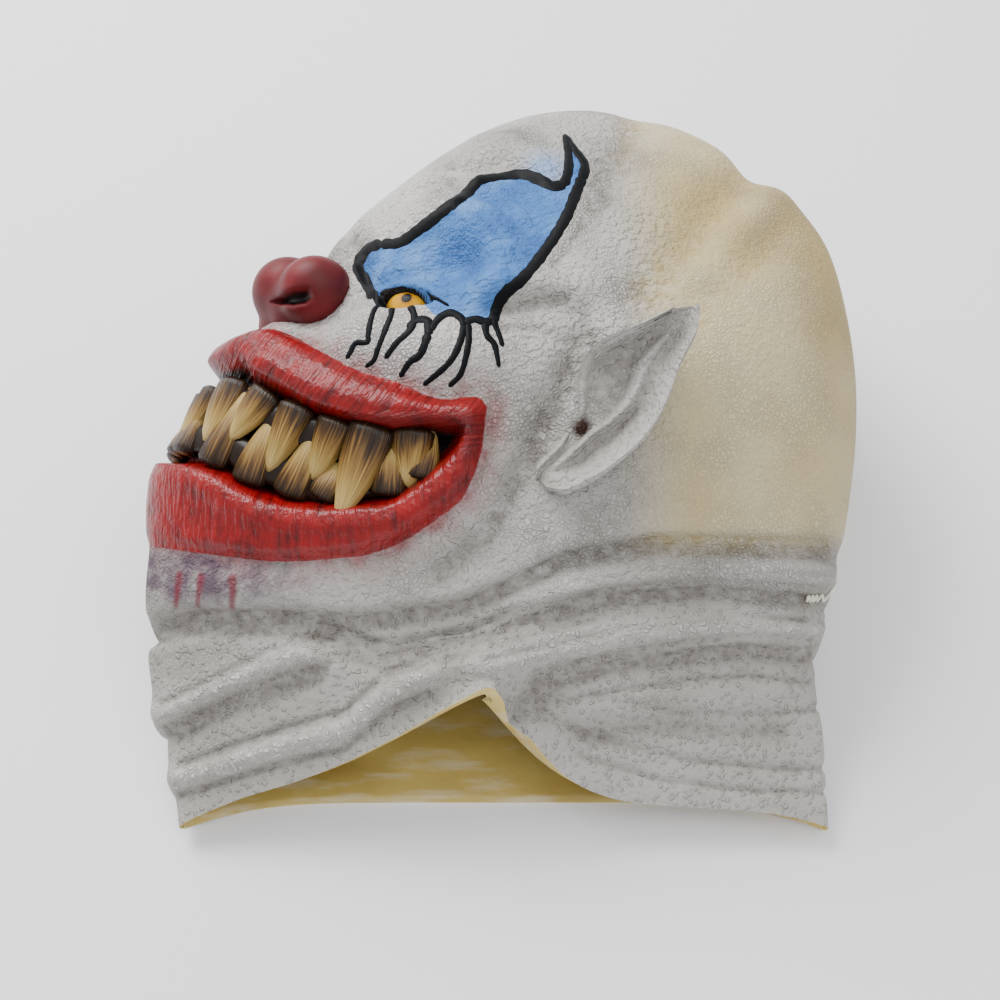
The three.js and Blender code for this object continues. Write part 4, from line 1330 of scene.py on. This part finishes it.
        # painted shade: how deep each point lies in a fold or hollow against the softened relief
        slope = lift[:, : self.columns]
        soft = slope.copy()
        for _ in range(self.soften):
            soft[1:-1, 1:-1] = (soft[:-2, 1:-1] + soft[2:, 1:-1] + soft[1:-1, :-2] + soft[1:-1, 2:]) / 4
        cavity = np.clip((soft - slope) / (1.1 * MM), 0, 1)
        told["hollow"] = np.maximum(np.clip(-slope / (9 * MM), 0, 0.5), cavity).ravel() * (told["lip_mm"] < 0)
        # raised relief of the neck, which takes white paint and painted highlight
        told["ridge"] = np.clip(slope / (4 * MM), 0, 1).ravel() * told["neck"]
        return {key: value.reshape(shape)[:, mirror] for key, value in told.items()}

    def build(self) -> bpy.types.Object:
        """Builds the casting.

        Returns:
            The piece.
        """
        turns, mirror = self.turns()
        rings = self.shares()
        turn, share = np.meshgrid(turns, rings)
        points, lift = self.surface(turn, share, True)
        told = self.paint(points, lift, mirror)
        shape = Shape()
        lips = (told["lip_mm"] > 0.5) & (told["mouth_mm"] < 2)
        wet = (lips[:-1] | lips[1:]).astype(int)
        shape.grid(points, closed=True, slot=wet, caps=(False, True), **told)
        low = lift.copy()
        # the inside follows the lowest relief around each point, so that it stays below the skin
        for step in range(1, 5):
            low = np.minimum(low, np.minimum(np.roll(low, 1, 1), np.roll(low, -1, 1)))
            low[step:] = np.minimum(low[step:], low[:-step])
            low[:-step] = np.minimum(low[:-step], low[step:])
        turn, share, low = (table[:: self.inner_step] for table in (turn, share, low))
        inner = FORM.plain(turn, share) + FORM.outward(turn, share) * (low - SIZES.wall)[..., None]
        inner = np.concatenate([points[:1], raised(inner, SIZES.wall)])
        shape.grid(inner, closed=True, flip=True, slot=2, caps=(False, True))
        materials = [
            PaintedLatex().build(),
            PaintedLatex(coat=0.25, name="cast_latex_lip_gloss").build(),
            RawLatex().build(),
        ]
        return shape.piece("latex_head", materials, "mask_shell")


@dataclass
class InkLines:
    """Raised beads of black paint along the brush strokes and drips, on both halves of the face."""

    height: float = 0.9 * MM
    sunk: float = 0.12 * MM
    step: float = 0.9 * MM
    across: int = 7
    # half width of a bead over the width of its stroke, and the unevenness of its edges
    half: float = 0.56
    uneven: float = 0.10

    def build(self) -> bpy.types.Object:
        """Builds the strokes.

        Returns:
            The piece.
        """
        shape = Shape()
        offset = np.linspace(-1, 1, self.across)
        for stroke in INK:
            corners = shares(*stroke.line)
            rough = spline(corners, np.linspace(0, 1, 200))
            gone = np.concatenate([[0], np.cumsum(np.hypot(*np.diff(rough, axis=0).T))])
            count = max(8, int(gone[-1] / self.step))
            at = np.linspace(0, gone[-1], count)
            line = np.stack([np.interp(at, gone, rough[:, axis]) for axis in (0, 1)], 1)
            run = unit(np.gradient(line, axis=0))
            half = mix(stroke.start, stroke.end, at / gone[-1]) * self.half * MM
            half = half * (1 + self.uneven * np.sin(at / MM * 0.9) * np.sin(at / MM * 0.37))
            near = np.clip(np.minimum(at, gone[-1] - at) / half, 0, 1)
            half = half * np.sqrt(np.clip(1 - (1 - near) ** 2, 0.02, 1))
            side = np.stack([-run[:, 1], run[:, 0]], 1)
            spots = line[:, None] + side[:, None] * (half[:, None] * offset)[..., None]
            lift = (self.height * (1 - offset**2) - self.sunk) * np.sqrt(near + 0.05)[:, None]
            for face in (1, -1):
                skin, out = LatexHead.under_spots(spots.reshape(-1, 2), face)
                points = (skin + out * lift.reshape(-1, 1)).reshape(count, self.across, 3)
                shape.grid(raised(points, 0), flip=face > 0)
        return shape.piece("ink_lines", [InkPaint().build()], "mask_shell")


@dataclass
class Ear:
    """One pointed ear: a thin cup that stands off the head, or lies pressed flat under it."""

    pressed: bool = False
    along: int = 90
    across: int = 60
    thick: float = 3 * MM
    pressed_thick: float = 5.4 * MM
    # rolled rims: height in millimetres, share of the way across, and width
    rims: tuple[tuple[float, float, float], ...] = ((3.4, 0.08, 0.07), (1.5, 0.95, 0.05))
    # inner ridge and the small fold in front of it: height in millimetres and width
    ridge: tuple[float, float] = (7.5, 0.085)
    small_fold: tuple[float, float] = (1.8, 0.035)
    canal_depth: float = 3.5

    def build(self) -> bpy.types.Object:
        """Builds the ear.

        Returns:
            The piece.
        """
        way = np.linspace(0, 1, self.along)
        station = spline(EAR_STATIONS, way)
        t = np.linspace(0, 1, self.across)
        front, back = station[:, None, 0:2], station[:, None, 2:4]
        spots = mix(front, back, t[None, :, None]) * (SIZES.depth, SIZES.length)
        flat = spots.reshape(-1, 2)
        hollow = station[:, 6:7] * np.sin(np.pi * t) ** 0.8
        rims = sum(height * bell((t - at) / width) for height, at, width in self.rims)
        inner = (smooth((way - 0.08) / 0.15) * smooth((0.97 - way) / 0.35))[:, None]
        crest = mix(0.34, 0.66, smooth((way - 0.2) / 0.35))[:, None]
        ridge = self.ridge[0] * inner * bell((t - crest) / self.ridge[1])
        slanted = way[:, None] - 0.55 - (t - 0.3) * 0.3
        small_fold = self.small_fold[0] * inner * bell(slanted / self.small_fold[1])
        ridge = ridge + small_fold * (t < crest) * smooth(t / 0.2)
        canal = np.hypot((way[:, None] - 0.26) / 0.06, (t - 0.16) / 0.13)
        lift = mix(station[:, 4:5], station[:, 5:6], t) - hollow + rims + ridge
        ground = RELIEF.lift(flat, np.ones(len(flat)), False).reshape(lift.shape) / MM
        lift = np.maximum(lift, ground + mix(-1.5, 0.8, np.sin(np.pi * t)))
        lift = (lift - self.canal_depth * bell(canal)) * MM
        if self.pressed:
            turn, share = FORM.locate(flat).T
            under = FORM.plain(-turn, share).reshape(self.along, self.across, 3) * (1, 1, 0)
            top, bottom = under + (0, 0, self.pressed_thick), under
        else:
            top = FORM.lifted(flat, lift.ravel()).reshape(self.along, self.across, 3)
            bottom = top - (0, 0, self.thick)
        # painted shade in the ear's bowl, less on its inner ridge and rims
        cup = np.clip(hollow / 12 - ridge / 5 - rims / 3, 0, 0.85)
        # painted shade in the ear hole
        dark = np.exp(-(canal**2) * 0.7)
        shape = Shape()
        shape.grid(top, flip=True, neck=np.full(lift.shape, 0.7), hollow=cup, pit=dark)
        shape.grid(bottom)
        border = np.concatenate([
            np.arange(self.across), self.across * np.arange(1, self.along) + self.across - 1,
            self.across * (self.along - 1) + np.arange(self.across - 1)[::-1],
            self.across * np.arange(1, self.along - 1)[::-1],
        ])
        sides = np.stack([top.reshape(-1, 3)[border], bottom.reshape(-1, 3)[border]])
        shape.grid(sides, closed=True)
        name = "right_ear_pressed" if self.pressed else "left_ear"
        latex = PaintedLatex(made_up=False, name="cast_latex_" + name).build()
        return shape.piece(name, [latex], "mask_shell")


@dataclass
class ToothRow:
    """One row of stained teeth on a dark gum strip."""

    name: str
    node: str
    teeth: np.ndarray
    rise: float
    front: tuple[float, ...] = ()
    inset: float = 4.2 * MM
    sides: int = 36
    steps: int = 18
    # length of a front tooth at the middle over the length of its neighbour
    front_length: float = 0.6
    # width and thickness of a tooth over its radius, and how deep its grooves are
    width: float = 1.1
    thickness: float = 0.75
    grooves: float = 0.045
    # gum strip: how much deeper it lies, its half thickness, its width over that, its steps and sides
    gum: tuple[float, float, float] = (0.8 * MM, 2.2 * MM, 3)
    gum_shape: tuple[int, int] = (90, 16)

    def build(self) -> bpy.types.Object:
        """Builds the row.

        Returns:
            The piece.
        """
        shape = Shape()
        t = np.linspace(0, 1, self.steps)
        rng = np.random.default_rng(5 if self.node == "upper_teeth" else 9)
        placed = [(row, side) for row in self.teeth for side in (1, -1)]
        for tooth, (row, side) in enumerate(placed + [(self.teeth[0], side) for side in self.front]):
            run = t[:, None] * mix(self.front_length, 1.0, side * side)
            line = mix(row[None, :2], row[None, 2:4], run) * (SIZES.depth, SIZES.length)
            turn, share = FORM.locate(line).T * [[side], [1]]
            share = share + self.rise * (1 - side * side)
            out = FORM.outward(turn, share)
            sunk = self.inset - row[6] * MM * t**2
            centres = FORM.plain(turn, share) - out * sunk[:, None]
            taper = np.sqrt(np.clip((1.02 - t) / 0.14, 0.02, 1)) * np.sqrt(np.clip((t + 0.06) / 0.1, 0.2, 1))
            radius = mix(row[4] * 1.3, row[5] * 0.9, t**1.9) * MM * taper
            ridges = np.convolve(rng.normal(0, 1, self.sides * 3), (0.3, 1, 0.3), "same")[: self.sides]
            groove = 1 + self.grooves * ridges[None] * np.sin(math.pi * np.clip(t * 1.1, 0, 1))[:, None]
            fold = np.minimum(np.arange(self.sides), self.sides - np.arange(self.sides))
            streak = np.repeat(fold[None] + 40.0 * tooth, self.steps, 0)
            along = np.repeat(t[:, None], self.sides, 1)
            shape.tube(centres, out, radius[:, None] * self.width * groove,
                       radius[:, None] * self.thickness * groove, along=along, streak=streak)
        root = mix(self.teeth[:, :2], self.teeth[:, 2:4], 0.3) * (SIZES.depth, SIZES.length)
        places = FORM.locate(root)
        turn = np.concatenate([places[::-1, 0], places[0, 0] * np.array([0.5, 0, -0.5]), -places[:, 0]])
        middle = places[0, 1] + self.rise * np.array([0.7, 1.0, 0.7])
        share = np.concatenate([places[::-1, 1], middle, places[:, 1]])
        path = spline(np.stack([turn, share], 1), np.linspace(0, 1, self.gum_shape[0]))
        out = FORM.outward(*path.T)
        deeper, half, wider = self.gum
        centres = FORM.plain(*path.T) - out * (self.inset + deeper)
        flat = np.full(self.gum_shape, half)
        zero = flat * 0
        shape.tube(centres, out, flat * wider, flat, along=zero, streak=zero)
        return shape.piece(self.name, [StainedTooth().build()], self.node)


# rootDepth, rootSlant, tipDepth, tipSlant (shares), rootRadius, tipRadius, tipLift (mm)
UPPER_TEETH = np.array([
    [0.080, 0.560, 0.040, 0.490, 5.5, 2.2, 2],
    [0.118, 0.568, 0.082, 0.490, 6.0, 2.2, 2],
    [0.171, 0.552, 0.120, 0.490, 6.0, 2.0, 2],
    [0.216, 0.533, 0.176, 0.450, 6.0, 2.0, 1],
    [0.270, 0.513, 0.237, 0.440, 6.2, 2.0, 1],
    [0.320, 0.506, 0.276, 0.388, 7.5, 1.2, 9],
    [0.372, 0.500, 0.366, 0.430, 6.5, 2.0, 1],
])
LOWER_TEETH = np.array([
    [0.040, 0.478, 0.070, 0.550, 5.0, 2.0, -1],
    [0.090, 0.460, 0.140, 0.560, 5.5, 2.0, -1],
    [0.145, 0.436, 0.178, 0.520, 5.5, 2.0, -2],
    [0.203, 0.420, 0.240, 0.498, 5.5, 1.8, -2],
    [0.250, 0.416, 0.276, 0.462, 5.0, 1.8, -3],
    [0.337, 0.420, 0.345, 0.490, 5.5, 2.0, -2],
    [0.380, 0.440, 0.396, 0.500, 5.0, 1.8, -4],
])


@dataclass(frozen=True)
class Lobe:
    """One rounded part of the nose: where it sits from the ball, and its half sizes, in millimetres."""

    away: tuple[float, float, float]
    size: tuple[float, float, float]

    def depth(self, points: np.ndarray) -> np.ndarray:
        """Measures points against the lobe.

        Args:
            points: Points from the ball's centre, in millimetres.

        Returns:
            Rough distance from the surface, negative inside.
        """
        scaled = (points - self.away) / self.size
        return (np.linalg.norm(scaled, axis=-1) - 1) * min(self.size)


@dataclass
class Nose:
    """The glued-on nose: a ball with a wing and a nostril on each side."""

    at: tuple[float, float] = (182.5, 684)
    height: float = 0.690
    lobes: tuple[Lobe, ...] = (
        Lobe((0, 0, 0), (17, 15, 19)),
        Lobe((14.5, -13.5, 16), (16.5, 14.5, 18)),
        Lobe((1, -8, -17), (16.5, 14.5, 18)),
        Lobe((8, -8, 2), (17, 15, 20)),
    )
    nostril: tuple[float, ...] = (
        163, 668, 180, 673, 205, 678, 226, 678, 231, 668, 221, 660, 200, 658, 180, 662,
    )
    # softness of the creases between the lobes and the point that the surface is cast from, in millimetres
    soft: float = 1.3
    core: tuple[float, float, float] = (6.0, -7.0, 0.0)
    # columns and rings, and the nearest, the farthest and the step of the radius, in millimetres
    columns: int = 150
    rings: int = 110
    nearest: float = 2.0
    farthest: float = 44.0
    step: float = 0.4

    def form(self, points: np.ndarray) -> np.ndarray:
        """Measures points against the blended lobes.

        Args:
            points: Points from the ball's centre, in millimetres.

        Returns:
            Rough distance from the surface, negative inside.
        """
        return -self.soft * np.log(sum(np.exp(-lobe.depth(points) / self.soft) for lobe in self.lobes))

    def build(self) -> bpy.types.Object:
        """Builds the nose.

        Returns:
            The piece.
        """
        place = FORM.locate(shares(*self.at))[0]
        ground = FORM.plain(*place)
        z = self.height * SIZES.height
        centre = np.array([ground[0], ground[1] + (ground[2] - z) / math.tan(SIZES.slant), z])
        around = np.linspace(0, FULL_TURN, self.columns, endpoint=False)
        theta, phi = np.meshgrid(around, np.linspace(0.02, math.pi - 0.02, self.rings))
        way = np.stack([np.cos(phi), np.sin(phi) * np.cos(theta), np.sin(phi) * np.sin(theta)], -1)
        core = np.array(self.core)
        radius = np.full(theta.shape, self.nearest)
        for reach in np.arange(self.farthest, self.nearest, -self.step):
            inside = (self.form(core + way * reach) < 0) & (radius == self.nearest)
            radius = np.where(inside, reach, radius)
        for _ in range(2):
            off = self.form(core + way * radius[..., None])
            radius = radius - np.clip(off, -self.step, self.step)
        points = centre + (core + way * radius[..., None]) * MM
        spots = FORM.slant_view(points).reshape(-1, 2)
        open_mm = (inside_distance(spots, shares(*self.nostril)) / MM).reshape(theta.shape)
        hole = smooth((open_mm + 0.8) / 2.6) * (points[..., 2] > centre[2] - 6 * MM)
        points = points - way * (hole * 8 * MM)[..., None]
        shape = Shape()
        shape.grid(points, closed=True, flip=True, caps=(True, True), deep=hole)
        return shape.piece("clown_nose", [NosePaint().build()], "nose")


@dataclass
class Eye:
    """One moulded eye behind its lids."""

    right: bool = False
    at: tuple[float, float] = (360, 663)
    radius: float = 13.0 * MM
    sunk: float = 0.7 * MM

    def build(self) -> bpy.types.Object:
        """Builds the eye.

        Returns:
            The piece.
        """
        skin, out = LatexHead.under_spots(shares(*self.at), -1 if self.right else 1, False)
        axis = out[0]
        centre = skin[0] - axis * (self.radius + self.sunk)
        theta, phi = np.meshgrid(np.linspace(0, FULL_TURN, 72, endpoint=False), np.linspace(0.01, 1.45, 40))
        ball = np.stack([np.sin(phi) * np.cos(theta), np.sin(phi) * np.sin(theta), np.cos(phi)], -1)
        turned = np.array(Vector((0, 0, 1)).rotation_difference(Vector(axis)).to_matrix())
        points = raised(centre + (ball * self.radius) @ turned.T, FLOOR_GAP)
        ring = np.sin(phi) * self.radius / MM
        ray = np.sin(theta * 17) * np.sin(theta * 5 + 1)
        shape = Shape()
        shape.grid(points, closed=True, caps=(True, False), ring=ring, ray=ray)
        name = "right_eye_dome" if self.right else "left_eye_dome"
        return shape.piece(name, [GlassEye(name="moulded_gloss_" + name).build()],
                           "right_eye" if self.right else "left_eye")


@dataclass
class Stitch:
    """The pale thread that closes the tear at the back of the neck."""

    at: tuple[float, float] = (930, 292)
    run: float = 12 * MM
    rise: float = 2.6 * MM
    radius: float = 0.7 * MM
    above: float = 0.9 * MM
    knots: int = 11
    steps: int = 80
    sides: int = 8

    def build(self) -> bpy.types.Object:
        """Builds the thread.

        Returns:
            The piece.
        """
        t = np.linspace(0, 1, self.knots)
        zigzag = np.where(np.arange(self.knots) % 2, 0.5, -0.5)
        spots = shares(*self.at) + np.stack([(t - 0.5) * self.run, zigzag * self.rise], 1)
        turn, share = FORM.locate(spots).T
        skin, _ = LatexHead.surface(turn[None], share[None], True)
        out = FORM.outward(turn, share)
        line = spline(skin[0] + out * self.above, np.linspace(0, 1, self.steps))
        middle = np.repeat(out[self.knots // 2][None], self.steps, 0)
        shape = Shape()
        around = np.full((self.steps, self.sides), self.radius)
        shape.tube(line, middle, around, around)
        # pale, dull and finely ribbed, so that it reads as twisted cotton
        finish = PlainFinish("twisted_cotton_thread", "D8D2BC", "EFEBDD", 0.85, 2500.0, 0.0003)
        return shape.piece("cotton_stitch", [finish.build()], "neck_stitch")


@dataclass(frozen=True)
class Studio:
    """Plain pale floor, soft light and a camera at the photo's angle."""

    target: tuple[float, float, float] = (-0.0030, -0.0351, 0.0536)
    pitch: float = math.radians(55)
    distance: float = 0.702
    lens: float = 55.8
    film: float = 36.0
    floor_half: float = 4.0
    room_light: float = 0.95
    lamps_look_at: tuple[float, float, float] = (0, 0, 0.05)

    def build(self) -> None:
        """Builds the surroundings."""
        mesh = bpy.data.meshes.new("floor")
        corners = [(x * self.floor_half, y * self.floor_half, 0) for x, y in ((-1, -1), (1, -1), (1, 1), (-1, 1))]
        mesh.from_pydata(corners, [], [(0, 1, 2, 3)])
        floor = bpy.data.objects.new("floor", mesh)
        bpy.context.scene.collection.objects.link(floor)
        g = Graph("matt_paper_sweep")
        mesh.materials.append(g.surface({"Base Color": linear("F6F6F8"), "Roughness": 0.9, "IOR": 1.45}))
        world = bpy.data.worlds.new("soft_room")
        world.use_nodes = True
        light = world.node_tree.nodes["Background"].inputs
        light["Color"].default_value = linear("F2F4F8")
        light["Strength"].default_value = self.room_light
        bpy.context.scene.world = world
        self.lamp("window", (-0.8, 0.9, 1.3), 1.1, 46)
        self.lamp("ceiling", (0.5, -0.6, 1.9), 1.6, 15)
        self.camera()

    def lamp(self, name: str, place: tuple[float, float, float], size: float, power: float) -> None:
        """Adds a soft area light that looks at the mask.

        Args:
            name: Name of the light.
            place: Where it hangs.
            size: Edge length.
            power: Watts.
        """
        data = bpy.data.lights.new(name, "AREA")
        data.size, data.energy = size, power
        lamp = bpy.data.objects.new(name, data)
        lamp.location = place
        toward = Vector(self.lamps_look_at) - Vector(place)
        lamp.rotation_euler = toward.to_track_quat("-Z", "Y").to_euler()
        bpy.context.scene.collection.objects.link(lamp)

    def camera(self) -> None:
        """Sets the camera at the photo's height and tilt."""
        data = bpy.data.cameras.new("photo_camera")
        data.lens, data.sensor_width = self.lens, self.film
        camera = bpy.data.objects.new("photo_camera", data)
        forward = Vector((0, math.cos(self.pitch), -math.sin(self.pitch)))
        camera.location = Vector(self.target) - forward * self.distance
        camera.rotation_euler = forward.to_track_quat("-Z", "Y").to_euler()
        bpy.context.scene.collection.objects.link(camera)
        bpy.context.scene.camera = camera


def main() -> None:
    """Builds the mask and its surroundings."""
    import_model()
    LatexHead().build()
    InkLines().build()
    Ear().build()
    Ear(pressed=True).build()
    ToothRow("upper_tooth_row", "upper_teeth", UPPER_TEETH, 0.006, (-0.68, -0.34, 0, 0.34, 0.68)).build()
    ToothRow("lower_tooth_row", "lower_teeth", LOWER_TEETH, 0.020, (-0.51, -0.17, 0.17, 0.51)).build()
    Nose().build()
    Eye().build()
    Eye(right=True).build()
    Stitch().build()
    Studio().build()


if __name__ == "__main__":
    main()
